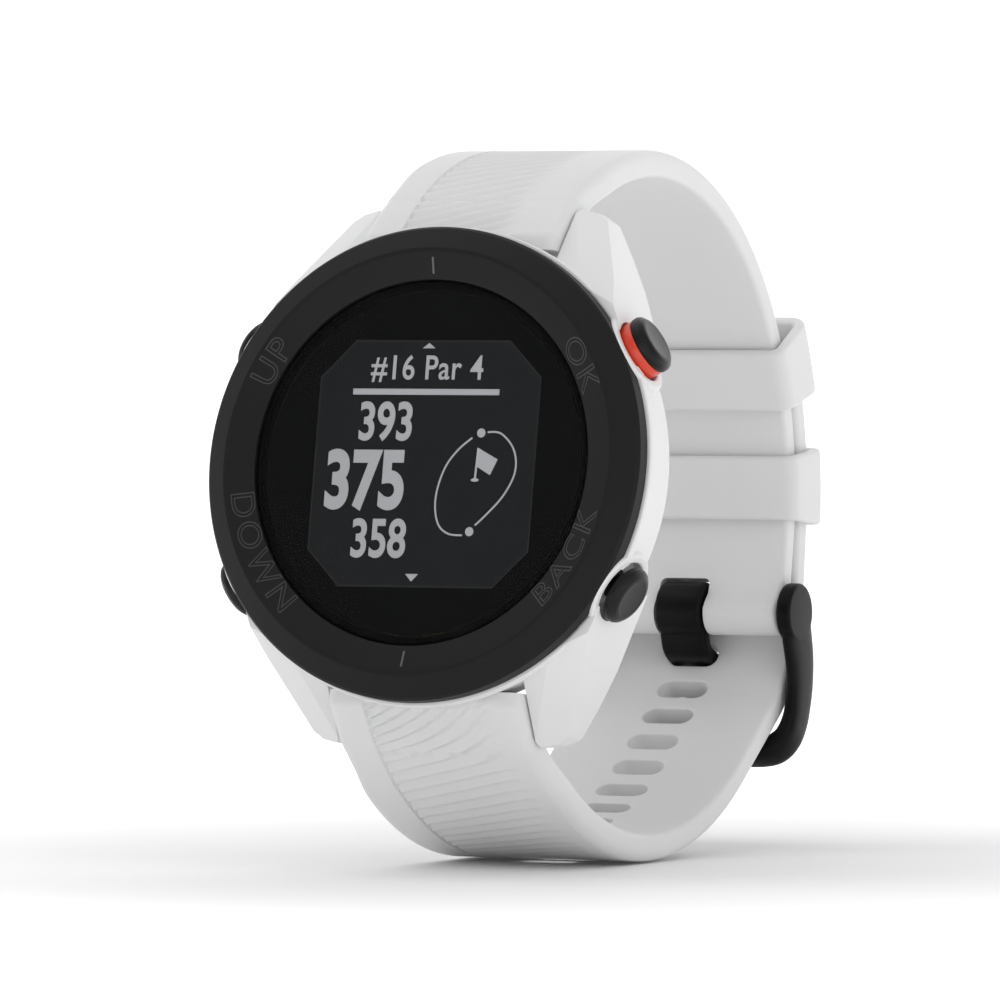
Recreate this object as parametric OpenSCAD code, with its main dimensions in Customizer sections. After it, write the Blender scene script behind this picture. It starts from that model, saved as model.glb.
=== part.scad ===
// Golf GPS watch on a silicone strap, buckled round an empty wrist opening.
//
// Frame: the origin is the middle of the wrist opening, +X points to the 3 o'clock side,
// +Z is up and the dial looks towards -Y, leaning back by `lean` degrees.
// The head is drawn lying on its back (x to 3 o'clock, y to 12 o'clock, z out of the dial)
// and the strap is drawn in its side view (x away from the dial, y up, z to 3 o'clock).

/* [Stance] */
// Lean of the whole watch away from the viewer, in degrees
lean = 10; // [0:1:20]
// Distance from the dial's rim plane to the middle of the wrist opening
setback = 34; // [33.8:0.1:34.2]

/* [Case] */
// Radius of the black bezel at its rim
bezel_r = 21.85; // [21.7:0.05:22]
// Radius of the crest between the dished ring and the outer slope
crest_r = 19.4; // [19:0.1:19.8]
// Height of the crest above the rim plane
crest_z = 1.7; // [1.4:0.1:2]
// Radius of the glass lens
lens_r = 16.8; // [16.6:0.1:17]
// Height of the glass face above the rim plane
lens_z = 0.87; // [0.6:0.01:1]
// Thickness of the glass
lens_t = 0.7; // [0.6:0.05:0.8]
// Radius of the white flange under the bezel
flange_r = 22.15; // [22:0.05:22.3]
// Inner radius of the case wall
cavity_r = 18.9; // [18.8:0.05:19]
// Thickness of the whole head, crest to back
head_t = 11.5; // [11.3:0.1:11.8]

/* [Display] */
// Half width of the eight-sided display window
window_x = 11.25; // [10.5:0.05:11.5]
// Half height of the window
window_y = 11.4; // [10.8:0.05:11.6]
// Length cut off each corner of the window
window_cut = 3.4; // [2.5:0.1:4]

/* [Buttons] */
// Angle of each side button above or below 3 and 9 o'clock
button_angle = 30; // [28:1:32]
// Depth of the button axes behind the rim plane
button_depth = 3.5; // [3.3:0.1:3.7]
// Radius of a button cap
cap_r = 2.75; // [2.5:0.05:2.8]
// Radius of a button stem
stem_r = 1.1; // [1:0.05:1.1]
// Radial clearance of a stem in its sleeve
stem_gap = 0.08; // [0.04:0.01:0.1]

/* [Lugs] */
// Half the gap between two lugs
lug_gap = 10.05; // [10:0.05:10.1]
// Distance of a spring bar from the middle of the dial
bar_y = 22.4; // [22.3:0.05:22.5]
// Depth of the spring bars behind the rim plane
bar_depth = 7.6; // [7.5:0.05:7.7]

/* [Strap] */
// Half width of the strap
strap_hw = 10.25; // [10.1:0.05:10.3]
// Half width of the strap ends between the lugs
strap_end_hw = 9.85; // [9.7:0.05:9.9]
// Thickness of both strap halves
strap_t = 2.6; // [2.4:0.1:2.6]
// Radius of the strap's inner face round the back of the wrist
wrap_r = 29.7; // [29.6:0.05:29.8]
// Gap between the two layers where they lie on each other
layer_gap = 0.2; // [0.15:0.05:0.25]
// Pitch of the adjusting slots
slot_pitch = 4.1; // [4:0.05:4.2]
// Number of adjusting slots
slot_count = 15; // [10:1:16]
// Size of a slot across and along the strap
slot_size = [5.4, 2.4]; // [2:0.1:6]

/* [Buckle] */
// Radius of the buckle's bar
pin_r = 0.9; // [0.8:0.05:1]
// Thickness of a buckle arm
arm_t = 1.5; // [1.3:0.1:1.7]
// Radius of the buckle's crossbar
crossbar_r = 1.55; // [1.4:0.05:1.6]
// Half width of the tongue
tongue_hw = 2.2; // [2:0.1:2.3]

/* [Keepers] */
// Wall of a strap keeper
keeper_wall = 1.1; // [1:0.1:1.2]
// Angle a keeper covers round the wrist opening
keeper_span = 12; // [11:0.5:12.5]
// Middle of the upper and of the lower keeper, in degrees up from the back
keeper_at = [31.5, 10.5]; // [10:0.5:32]

/* [Hidden] */

$fn = 96;

white = [0.93, 0.93, 0.93];
black = [0.05, 0.05, 0.055];
steel = [0.7, 0.7, 0.72];
gold = [0.85, 0.66, 0.3];

// Heights in the head's own frame, measured from the rim plane along the dial's normal
back_z = crest_z - head_t;
cover_top_z = back_z + 1.2;
seat_z = -1.25;
lens_back_z = lens_z - lens_t;
ledge_z = lens_back_z - 0.17;
lip_z = -1.45;
gasket_t = 0.4;
board_z = -3.9;
board_t = 0.8;
board_r = 15.1;

// Button stack, as distances from the middle of the dial along each button's axis
cap_face = 23.4;
ok_lift = 0.7;
pocket_floor = 20.9;
clip_out = 18.65;
stem_end = 17.8;
switch_face = 17.15;
button_angles = [180 - button_angle, 180 + button_angle, button_angle, -button_angle];

screw_angles = [45, 135, 225, 315];
screw_at = 16.6;
contact_pitch = 2;
contacts_y = -8.5;

// Strap paths in the side view: [radius, degrees] for a bend, [0, length] for a straight
wrap_centre = [-5.7, 1.5];
wrap_angle = 134.7;
tip_angle = 36;
lift_angle = 4;
tail_r = wrap_r + strap_t + layer_gap;
bar_upper = [bar_depth - setback, bar_y];
bar_lower = [bar_depth - setback, -bar_y];
pin_at = [24.9, -5];
pin_tube_r = 2.25;
crossbar_at = [25.6, -18.3];
buckle_half = [[wrap_r, wrap_angle], [0, 6]];
tail_half = [[tail_r, tip_angle - lift_angle], [0, 9], [10.6, 49.2], [0, 9.85], [32.8, 83.9]];
leg_overlap = 0.4;
leg_inset = 0.03;
first_slot = 10.5;
tongue_slot = 5;
tongue_tilt = 0.12;
tongue_t = 1.5;

function polar(r, a) = r * [cos(a), sin(a)];
buckle_start = wrap_centre + polar(wrap_r, wrap_angle);
tail_start = wrap_centre + polar(tail_r, tip_angle);

// End point, end heading and length of one leg that starts at p with heading h
function leg_end(p, h, leg) = leg[0] == 0
    ? p + polar(leg[1], h)
    : p + leg[0] * [sin(h), -cos(h)] + polar(leg[0], h + 90 - leg[1]);
function leg_heading(h, leg) = leg[0] == 0 ? h : h - leg[1];
function leg_length(leg) = leg[0] == 0 ? leg[1] : leg[0] * leg[1] * PI / 180;

// [point, heading] on the inner face, a distance s along a run of legs
function along(p, h, legs, s, i = 0) =
    let (leg = legs[i], full = leg_length(leg))
    s > full && i < len(legs) - 1
        ? along(leg_end(p, h, leg), leg_heading(h, leg), legs, s - full, i + 1)
        : let (part = leg[0] == 0 ? [0, s] : [leg[0], s / leg[0] * 180 / PI])
          [leg_end(p, h, part), leg_heading(h, part)];

// Whole watch, leaning back about the middle of the wrist opening
module worn() rotate([-lean, 0, 0]) children();
module on_head() worn() translate([0, -setback, 0]) rotate([90, 0, 0]) children();
module on_side() worn() rotate([90, 0, 90]) children();

// Local z runs outwards along a side button's axis
module on_button(angle) on_head() rotate([0, 0, angle]) translate([0, 0, -button_depth])
    rotate([0, 90, 0]) children();

module ring(r_out, r_in, z0, z1) translate([0, 0, z0]) difference() {
    cylinder(r = r_out, h = z1 - z0);
    translate([0, 0, -1]) cylinder(r = r_in, h = z1 - z0 + 2);
}

function octagon(x, y, cut) = [
    [x - cut, y], [x, y - cut], [x, cut - y], [x - cut, -y],
    [cut - x, -y], [-x, cut - y], [-x, y - cut], [cut - x, y]];

module plate(points, z0, z1) translate([0, 0, z0]) linear_extrude(z1 - z0) polygon(points);

// Two circles joined by their outer tangents, as one flat shape
module link(a, ra, b, rb) {
    d = norm(b - a);
    dir = (b - a) / d;
    side = [-dir[1], dir[0]];
    lean_in = asin((ra - rb) / d);
    up = side * cos(lean_in) + dir * sin(lean_in);
    down = -side * cos(lean_in) + dir * sin(lean_in);
    translate(a) circle(r = ra);
    translate(b) circle(r = rb);
    polygon([a + ra * up, a + ra * down, b + rb * down, b + rb * up]);
}

// ---- Head ----

// Everything on the outer side of a plane through p with normal n
module beyond(p, n) translate(p) rotate([0, acos(n[2] / norm(n)), atan2(n[1], n[0])])
    translate([-20, -20, 0]) cube([40, 40, 20]);

lug_root = [13.2, 17.3, -1.5];
lug_tip_in = [lug_gap, 24.6, -6.9];
lug_tip_out = [12.9, 23.7, -7.4];
lug_inner = [lug_gap, 19.7, -3.6];

// The lug by 1 o'clock, cut from a slab by its front facet and its inner bevel
module lug() {
    front = cross(lug_tip_in - lug_root, lug_tip_out - lug_root);
    bevel = cross(lug_inner - lug_tip_in, lug_root - lug_tip_in);
    difference() {
        intersection() {
            plate([[lug_gap, 12], [lug_gap, 24.4], [lug_gap + 0.3, 24.8], [12, 24.5],
                [13, 23.8], [16.2, 17.5], [19, 10.5]], -10.3, seat_z);
            rotate([90, 0, 90]) linear_extrude(24) polygon([[10, seat_z], [26, seat_z],
                [24.9, -7.6], [24.6, -9.2], [23.6, -10.2], [20.5, -10.3], [17, -9.6], [10, -9.3]]);
        }
        beyond(lug_root, front[2] > 0 ? front : -front);
        beyond(lug_tip_in, bevel[2] > 0 ? bevel : -bevel);
    }
}

module four_ways() for (x = [0, 1], y = [0, 1]) mirror([x, 0, 0]) mirror([0, y, 0]) children();

module case_shell() difference() {
    union() {
        rotate_extrude() polygon([[cavity_r - 1, seat_z], [flange_r - 0.15, seat_z],
            [flange_r, seat_z - 0.15], [flange_r, -2.1], [flange_r - 0.35, -2.4],
            [21.6, -6.4], [20.6, -8.4], [19.4, -9.3], [cavity_r - 1, -9.3]]);
        four_ways() lug();
        for (a = button_angles) rotate([0, 0, a]) translate([19, 0, -button_depth])
            rotate([0, 90, 0]) cylinder(r = cap_r + 0.95, h = 2.9);
    }
    translate([0, 0, -20]) cylinder(r = cavity_r, h = 20);
    translate([0, 0, seat_z]) cylinder(r = 30, h = 5);
}

// Round pockets that the button caps sink into
module button_pockets() for (a = button_angles) rotate([0, 0, a])
    translate([pocket_floor, 0, -button_depth]) rotate([0, 90, 0]) cylinder(r = cap_r + 0.2, h = 4);

module screw_boss() {
    translate([screw_at, 0, cover_top_z + 0.05]) cylinder(r = 1.35, h = 3.6);
    translate([screw_at, -0.8, -7.4]) cube([cavity_r - screw_at + 0.4, 1.6, 2.4]);
}

module case_middle() color(white) on_head() difference() {
    union() {
        case_shell();
        ring(cavity_r + 0.3, 18, -8.1, -7.5);
        for (a = screw_angles) rotate([0, 0, a]) screw_boss();
    }
    // Clearance between the lugs for the strap ends
    for (s = [0, 1]) mirror([0, s, 0]) {
        translate([-lug_gap, 20.15, -12]) cube([2 * lug_gap, 10, 12 - 2.45]);
        translate([-lug_gap, bar_y, -bar_depth]) rotate([0, 90, 0]) cylinder(r = 2.4, h = 2 * lug_gap);
        translate([-11.7, bar_y, -bar_depth]) rotate([0, 90, 0]) cylinder(r = 0.5, h = 23.4);
    }
    for (a = button_angles) rotate([0, 0, a]) translate([12, 0, -button_depth])
        rotate([0, 90, 0]) cylinder(r = 1.82, h = 12);
    button_pockets();
    for (a = screw_angles) rotate([0, 0, a]) translate([screw_at, 0, -10])
        cylinder(r = 0.5, h = 3.9);
}

module bezel() color(black) on_head() difference() {
    rotate_extrude() polygon([[lens_r + 0.05, ledge_z], [lens_r + 0.05, lens_z + 0.08],
        [crest_r, crest_z], [crest_r + 0.25, crest_z], [21.6, 0.75], [bezel_r, 0.4],
        [bezel_r, -1.05], [bezel_r - 0.15, seat_z + 0.03], [cavity_r - 0.05, seat_z + 0.03],
        [cavity_r - 0.05, lip_z], [17.6, lip_z], [17.6, seat_z], [15.9, seat_z], [15.9, ledge_z]]);
    for (y = [-1, 1]) translate([-0.16, y * 18.15 - 0.75, 1.18]) cube([0.32, 1.5, 1]);
    button_pockets();
}

module lens() color([0.02, 0.02, 0.025]) on_head() rotate_extrude() polygon([
    [0, lens_back_z], [lens_r, lens_back_z], [lens_r, lens_z - 0.2], [lens_r - 0.2, lens_z], [0, lens_z]]);

module lens_adhesive() color([0.2, 0.2, 0.2]) on_head()
    ring(lens_r - 0.1, 16, ledge_z, lens_back_z);

module lens_border() color(black) on_head() difference() {
    translate([0, 0, lens_back_z - 0.12]) cylinder(r = 15.8, h = 0.11);
    plate(octagon(window_x, window_y, window_cut), lens_back_z - 1, lens_back_z + 1);
}

module display_panel() color([0.16, 0.17, 0.18]) on_head()
    plate(octagon(11.8, 12, 3.6), -2, lens_back_z - 0.14);

module backlight() color([0.9, 0.9, 0.85]) on_head()
    plate(octagon(11.6, 11.8, 3.5), -2.5, -2.02);

module inner_frame() color([0.25, 0.25, 0.27]) on_head() difference() {
    translate([0, 0, -3.05]) cylinder(r = 15.4, h = 2.9);
    plate(octagon(11.9, 12.1, 3.6), -2.55, 1);
    translate([-3, -14.4, -4]) cube([6, 2.6, 2.4]);
}

module gps_antenna() color(gold) on_head() translate([0, 0, -2.4])
    rotate([0, 0, 95]) rotate_extrude(angle = 200) translate([15.5, 0]) square([0.25, 1]);

module main_board() color([0.05, 0.3, 0.12]) on_head() difference() {
    translate([0, 0, board_z]) cylinder(r = board_r, h = board_t);
    for (a = [0, 180]) rotate([0, 0, a]) translate([12.9, 0, board_z - 1]) cylinder(r = 0.6, h = 3);
}

module shield_can() color(steel) on_head() translate([-9, -2, board_z - 1.02]) cube([10, 9, 1]);

module board_chips() color([0.08, 0.08, 0.09]) on_head() {
    for (chip = [[3, 1, 5, 5], [3.5, -6, 4, 3.5], [-8, -7.5, 6, 3], [-1.5, -8.5, 2.5, 2]])
        translate([chip[0], chip[1], board_z - 0.9]) cube([chip[2], chip[3], 0.88]);
}

module switch_flex() color([0.8, 0.5, 0.15]) on_head() for (a = [-45, 135])
    rotate([0, 0, a]) translate([0, 0, -4.6]) rotate_extrude(angle = 90)
        translate([15.45, 0]) square([0.2, 2]);

module side_switches() color(steel) for (a = button_angles) on_button(a) {
    translate([-1.2, -1.6, 15.7]) cube([2.4, 3.2, switch_face - 15.7 - 0.4]);
    translate([0, 0, switch_face - 0.5]) cylinder(r = 0.7, h = 0.5);
}

module button_sleeves() color(steel) for (a = button_angles) on_button(a) difference() {
    translate([0, 0, clip_out + 0.05]) cylinder(r = 1.8, h = pocket_floor - clip_out - 0.07);
    cylinder(r = stem_r + stem_gap, h = 30);
    translate([0, 0, 19.6]) cylinder(r = 1.7, h = 3);
}

module battery() color([0.75, 0.75, 0.78]) on_head() plate([[-9.5, -11], [9.5, -11],
    [10, -10.5], [10, 10.5], [9.5, 11], [-9.5, 11], [-10, 10.5], [-10, -10.5]], -8, -5.1);

module battery_pad() color([0.15, 0.15, 0.15]) on_head() translate([-8, -6.5, cover_top_z + 0.02])
    cube([16, 15.5, -8.02 - cover_top_z - 0.02]);

module case_gasket() color([0.1, 0.1, 0.1]) on_head()
    ring(cavity_r - 0.15, 18.1, cover_top_z + 0.02, cover_top_z + 0.02 + gasket_t);

module back_cover() color([0.12, 0.12, 0.13]) on_head() difference() {
    rotate_extrude() polygon([[0, back_z], [14.5, back_z], [18.2, back_z + 0.5],
        [cavity_r - 0.1, back_z + 0.8], [cavity_r - 0.1, cover_top_z], [0, cover_top_z]]);
    for (a = screw_angles) rotate([0, 0, a]) translate([screw_at, 0, back_z - 1]) {
        cylinder(r = 1.15, h = 1.65);
        cylinder(r = 0.6, h = 4);
    }
    translate([0, contacts_y, back_z - 1]) linear_extrude(1.4) {
        square([3 * contact_pitch, 3.2], center = true);
        for (s = [-1, 1]) translate([s * 1.5 * contact_pitch, 0]) circle(r = 1.6);
    }
    for (i = [0:3]) translate([(i - 1.5) * contact_pitch, contacts_y, back_z - 1])
        cylinder(r = 0.62, h = 4);
}

module back_screws() color(steel) on_head() for (a = screw_angles) rotate([0, 0, a])
    translate([screw_at, 0, 0]) difference() {
        union() {
            translate([0, 0, back_z + 0.25]) cylinder(r = 1.05, h = 0.38);
            translate([0, 0, back_z + 0.6]) cylinder(r = 0.45, h = 3);
        }
        translate([-0.12, -1, back_z]) cube([0.24, 2, 0.42]);
        translate([-1, -0.12, back_z]) cube([2, 0.24, 0.42]);
    }

module charging_contacts() color(gold) on_head() for (i = [0:3])
    translate([(i - 1.5) * contact_pitch, contacts_y, back_z + 0.15]) cylinder(r = 0.6, h = 1.4);

// ---- Side buttons ----

// A domed cap on its stem, with a groove for the clip at the inner end
module push_button(angle, lift) color(black) on_button(angle) difference() {
    union() {
        translate([0, 0, stem_end]) cylinder(r = stem_r, h = cap_face + lift - 1 - stem_end);
        translate([0, 0, cap_face + lift - 1.2]) rotate_extrude() polygon([
            [0, 0], [cap_r - 0.15, 0], [cap_r, 0.15], [cap_r, 0.75], [cap_r - 0.35, 1.05],
            [cap_r - 1.2, 1.2], [0, 1.2]]);
    }
    ring(stem_r + 1, stem_r - 0.25, clip_out - 0.42, clip_out + 0.02);
    ring(stem_r + 1, stem_r - 0.02, 20.2, 20.9);
}

module stem_seal(angle) color([0.12, 0.12, 0.12]) on_button(angle) translate([0, 0, 20.55])
    rotate_extrude() translate([stem_r + 0.29, 0]) circle(r = 0.28, $fn = 24);

module stem_clip(angle) color(steel) on_button(angle) difference() {
    ring(1.75, stem_r - 0.2, clip_out - 0.4, clip_out);
    translate([-3, -0.5, clip_out - 1]) cube([3, 1, 2]);
}

module button_up() push_button(button_angles[0], 0);
module button_down() push_button(button_angles[1], 0);
module button_ok() push_button(button_angles[2], ok_lift);
module button_back() push_button(button_angles[3], 0);
module seal_up() stem_seal(button_angles[0]);
module seal_down() stem_seal(button_angles[1]);
module seal_ok() stem_seal(button_angles[2]);
module seal_back() stem_seal(button_angles[3]);
module clip_up() stem_clip(button_angles[0]);
module clip_down() stem_clip(button_angles[1]);
module clip_ok() stem_clip(button_angles[2]);
module clip_back() stem_clip(button_angles[3]);

// Red collar that shows between the raised OK cap and the case
module ok_collar() color([0.85, 0.1, 0.05]) on_button(button_angles[2])
    ring(cap_r - 0.05, stem_r + 0.01, 21.7, cap_face + ok_lift - 1.22);

// ---- Strap ----

// Section of the strap from its inner face at distance r outwards, drawn smaller by inset
function strap_section(r, inset) =
    let (hw = strap_hw - inset, low = r + inset, high = r + strap_t - inset)
    [[low + 0.5, -hw], [low, 0.5 - hw], [low, hw - 0.5], [low + 0.5, hw],
        [high - 0.8, hw], [high, hw - 0.8], [high, 0.8 - hw], [high - 0.8, -hw]];

// A strap that follows its legs one after another, from point p with heading h.
// Straight legs are a hair thinner and run into the bends at both ends.
module strap_band(p, h, legs, i = 0) if (i < len(legs)) {
    leg = legs[i];
    if (leg[0] == 0)
        translate(p) rotate([0, 0, h]) translate([-leg_overlap, 0, 0]) rotate([90, 0, 90])
            linear_extrude(leg[1] + 2 * leg_overlap) polygon(strap_section(0, leg_inset));
    else
        translate(p + leg[0] * [sin(h), -cos(h)]) rotate([0, 0, h + 90 - leg[1]])
            rotate_extrude(angle = leg[1]) polygon(strap_section(leg[0], 0));
    strap_band(leg_end(p, h, leg), leg_heading(h, leg), legs, i + 1);
}

// Cross hole or collar about an axis that runs across the strap
module across(at, r, half) translate([at[0], at[1], -half]) cylinder(r = r, h = 2 * half);

// Thick end of a strap half round its spring bar, filling the space between the lugs
module strap_head(bar, up) {
    across(bar, 2.2, strap_end_hw);
    mirror([0, up ? 0 : 1, 0]) translate([-setback, 0, -strap_end_hw])
        linear_extrude(2 * strap_end_hw) polygon([[3.2, 20.35], [3.2, 21.6], [6.1, 24.6],
            [8.3, 23.9], [8.3, 20.9], [6.6, 20.35]]);
}

// Room at a strap end for the lugs, the spring bar and the release knob
module strap_end_cuts(bar, up) {
    for (s = [-1, 1]) translate([0, 0, s * (strap_end_hw + 2)]) translate(bar)
        cylinder(r = 4.6, h = 4, center = true);
    across(bar, 0.85, 15);
    translate([bar[0], bar[1], 4]) rotate([0, 0, up ? -45 : 45]) translate([0, -0.9, 0])
        cube([4, 1.8, 3.9]);
}

module strap_buckle_half() color(white) on_side() difference() {
    union() {
        strap_band(buckle_start, wrap_angle - 90, buckle_half);
        strap_head(bar_upper, true);
        across(pin_at, pin_tube_r, strap_hw);
    }
    strap_end_cuts(bar_upper, true);
    across(pin_at, pin_r + 0.02, 15);
    translate([15, -12, -tongue_hw - 0.4]) cube([20, 10, 2 * tongue_hw + 0.8]);
}

module strap_slot(s) {
    place = along(tail_start, tip_angle - 90, tail_half, s);
    end = slot_size[0] / 2 - slot_size[1] / 2;
    translate(place[0]) rotate([0, 0, place[1]]) translate([0, -1, 0]) rotate([-90, 0, 0])
        linear_extrude(strap_t + 2) {
            for (y = [-end, end]) translate([0, y]) circle(r = slot_size[1] / 2, $fn = 32);
            square([slot_size[1], 2 * end], center = true);
        }
}

module strap_tail_half() color(white) on_side() difference() {
    union() {
        strap_band(tail_start, tip_angle - 90, tail_half);
        strap_head(bar_lower, false);
    }
    strap_end_cuts(bar_lower, false);
    for (i = [0:slot_count - 1]) strap_slot(first_slot + i * slot_pitch);
    // Rounded corners at the tip
    translate(tail_start) rotate([0, 0, tip_angle - 90]) rotate([-90, 0, 0]) for (s = [-1, 1])
        translate([0, 0, -2]) linear_extrude(8) difference() {
            translate([-1, s > 0 ? strap_hw - 4 : -strap_hw - 1]) square([5, 5]);
            translate([4, s * (strap_hw - 4)]) circle(r = 4.05);
        }
}

// ---- Quick-release spring bars ----

module bar_tube(bar, up) color(steel) on_side() difference() {
    across(bar, 0.75, 9.6);
    across(bar, 0.5, 15);
    translate([bar[0], bar[1], 4.4]) rotate([0, 0, up ? -45 : 45]) translate([0, -0.62, 0])
        cube([2, 1.24, 3.1]);
}

module bar_pin(bar) color(steel) on_side() translate([bar[0], bar[1], -11.2]) {
    cylinder(r = 0.42, h = 2);
    translate([0, 0, 1.9]) cylinder(r = 0.49, h = 3);
}

module release_lever(bar, up) color(steel) on_side() {
    translate([bar[0], bar[1], 4.2]) cylinder(r = 0.42, h = 7);
    translate([bar[0], bar[1], 6.8]) rotate([0, 0, up ? -45 : 45]) rotate([0, 90, 0])
        cylinder(r = 0.55, h = 3.1);
}

module bar_tube_upper() bar_tube(bar_upper, true);
module bar_tube_lower() bar_tube(bar_lower, false);
module bar_pin_upper() bar_pin(bar_upper);
module bar_pin_lower() bar_pin(bar_lower);
module release_lever_upper() release_lever(bar_upper, true);
module release_lever_lower() release_lever(bar_lower, false);

// ---- Buckle ----

arm_in = strap_hw + 0.25;
arm_points = [pin_at, [26.9, -9], [27.4, -13.2], crossbar_at];
arm_radii = [2.9, 2.6, 2.2, crossbar_r];

module buckle_bar() color(steel) on_side() across(pin_at, pin_r, arm_in + arm_t - 0.4);

module buckle_frame() color(black) on_side() difference() {
    union() {
        for (s = [0, 1]) mirror([0, 0, s]) translate([0, 0, arm_in]) linear_extrude(arm_t)
            for (i = [0:2]) link(arm_points[i], arm_radii[i], arm_points[i + 1], arm_radii[i + 1]);
        across(crossbar_at, crossbar_r, arm_in + 0.5);
    }
    across(pin_at, pin_r + 0.08, arm_in + arm_t - 0.3);
}

// The tongue goes from the bar through one slot of the tail and rests on the crossbar
module buckle_tongue() color(black) on_side() {
    place = along(tail_start, tip_angle - 90, tail_half, first_slot + tongue_slot * slot_pitch);
    out = polar(1, place[1] + 90);
    slot_mid = place[0] + polar(tongue_tilt, place[1]);
    path = [[24.6, -7.3], slot_mid - 1.3 * out, slot_mid + (strap_t + 2.3) * out,
        crossbar_at + polar(2.75, -40)];
    difference() {
        translate([0, 0, -tongue_hw]) linear_extrude(2 * tongue_hw) {
            translate(pin_at + [-0.4, -0.1]) circle(r = 2.3);
            for (i = [0:2]) link(path[i], tongue_t / 2, path[i + 1], tongue_t / 2);
        }
        across(pin_at, pin_r + 0.08, 15);
    }
}

// ---- Keepers ----

module keeper(middle) color(white) on_side() translate(wrap_centre) {
    inside = wrap_r - 0.15;
    outside = tail_r + strap_t + 0.15;
    hw = strap_hw + 0.15;
    w = keeper_wall;
    rotate([0, 0, middle - keeper_span / 2]) rotate_extrude(angle = keeper_span) difference() {
        polygon([[inside - w + 0.5, -hw - w], [outside + w - 0.8, -hw - w], [outside + w, -hw - w + 0.8],
            [outside + w, hw + w - 0.8], [outside + w - 0.8, hw + w], [inside - w + 0.5, hw + w],
            [inside - w, hw + w - 0.5], [inside - w, -hw - w + 0.5]]);
        translate([inside, -hw]) square([outside - inside, 2 * hw]);
    }
}

module keeper_upper() keeper(keeper_at[0]);
module keeper_lower() keeper(keeper_at[1]);

case_middle();
bezel();
lens();
lens_adhesive();
lens_border();
display_panel();
backlight();
inner_frame();
gps_antenna();
main_board();
shield_can();
board_chips();
switch_flex();
side_switches();
button_sleeves();
battery();
battery_pad();
case_gasket();
back_cover();
back_screws();
charging_contacts();
button_up();
button_down();
button_ok();
button_back();
seal_up();
seal_down();
seal_ok();
seal_back();
clip_up();
clip_down();
clip_ok();
clip_back();
ok_collar();
strap_buckle_half();
strap_tail_half();
bar_tube_upper();
bar_tube_lower();
bar_pin_upper();
bar_pin_lower();
release_lever_upper();
release_lever_lower();
buckle_bar();
buckle_frame();
buckle_tongue();
keeper_upper();
keeper_lower();
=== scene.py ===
import math

import bmesh
import bpy
from mathutils import Matrix, Vector


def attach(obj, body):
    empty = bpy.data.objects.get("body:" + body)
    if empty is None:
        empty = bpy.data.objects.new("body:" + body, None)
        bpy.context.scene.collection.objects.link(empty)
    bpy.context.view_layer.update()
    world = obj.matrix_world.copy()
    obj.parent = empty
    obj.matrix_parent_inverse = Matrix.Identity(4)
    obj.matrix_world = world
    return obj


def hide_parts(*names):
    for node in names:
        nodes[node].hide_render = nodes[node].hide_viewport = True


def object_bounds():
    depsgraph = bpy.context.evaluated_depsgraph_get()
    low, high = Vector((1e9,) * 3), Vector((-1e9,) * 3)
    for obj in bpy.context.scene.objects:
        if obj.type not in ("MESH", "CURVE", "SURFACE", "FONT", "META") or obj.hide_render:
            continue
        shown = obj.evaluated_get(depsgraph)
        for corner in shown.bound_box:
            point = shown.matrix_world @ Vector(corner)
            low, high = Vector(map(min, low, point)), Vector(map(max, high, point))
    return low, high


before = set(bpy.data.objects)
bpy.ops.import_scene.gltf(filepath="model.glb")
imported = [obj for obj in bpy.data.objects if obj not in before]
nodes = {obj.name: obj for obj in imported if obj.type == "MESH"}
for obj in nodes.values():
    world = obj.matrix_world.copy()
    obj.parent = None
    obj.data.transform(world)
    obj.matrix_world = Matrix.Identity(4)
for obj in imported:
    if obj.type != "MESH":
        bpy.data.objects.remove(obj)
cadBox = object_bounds()
print("frame loaded,", len(nodes), "parts")

# The head is drawn lying on its back and the strap in its side view, both in mm
stance = {"lean": 10, "setback": 34}
leanBack = Matrix.Rotation(math.radians(-stance["lean"]), 4, "X")
inHead = (leanBack @ Matrix.Translation((0, -stance["setback"] / 1000, 0))
          @ Matrix.Rotation(math.radians(90), 4, "X") @ Matrix.Scale(0.001, 4))
inSide = (leanBack @ Matrix(((0, 0, 1, 0), (1, 0, 0, 0), (0, 1, 0, 0), (0, 0, 0, 1)))
          @ Matrix.Scale(0.001, 4))


# Camera, light and floor

view = {"place": (0.3792, -0.7966, 0.0212), "azimuth": 25.96, "elevation": 1.25, "lens": 337.2}
camera = bpy.data.objects.new("viewCamera", bpy.data.cameras.new("viewCamera"))
camera.data.lens = view["lens"]
camera.data.clip_end = 20
camera.location = view["place"]
camera.rotation_euler = (math.radians(90 - view["elevation"]), 0, math.radians(view["azimuth"]))
bpy.context.scene.collection.objects.link(camera)
bpy.context.scene.camera = camera

softboxes = {
    "overheadLight": {"place": (-0.15, -0.05, 0.55), "aim": (0, 0, 0), "size": 0.6, "power": 1.0},
    "leftLight": {"place": (-0.55, -0.18, 0.22), "aim": (0, 0, 0), "size": 0.42, "power": 0.35},
    "rightLight": {"place": (0.5, -0.3, 0.28), "aim": (0, 0, 0), "size": 0.4, "power": 0.42},
    "frontLight": {"place": (0.12, -0.7, 0.5), "aim": (0, 0, 0), "size": 0.35, "power": 0.4},
}
for name, box in softboxes.items():
    lamp = bpy.data.lights.new(name, "AREA")
    lamp.size = box["size"]
    lamp.energy = box["power"]
    lampObject = bpy.data.objects.new(name, lamp)
    lampObject.location = box["place"]
    towards = Vector(box["aim"]) - Vector(box["place"])
    lampObject.rotation_euler = towards.to_track_quat("-Z", "Y").to_euler()
    bpy.context.scene.collection.objects.link(lampObject)

world = bpy.data.worlds.new("studio")
world.use_nodes = True
world.node_tree.nodes["Background"].inputs["Color"].default_value = (1, 1, 1, 1)
world.node_tree.nodes["Background"].inputs["Strength"].default_value = 0.42
bpy.context.scene.world = world
bpy.context.scene.view_settings.view_transform = "Standard"


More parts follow.
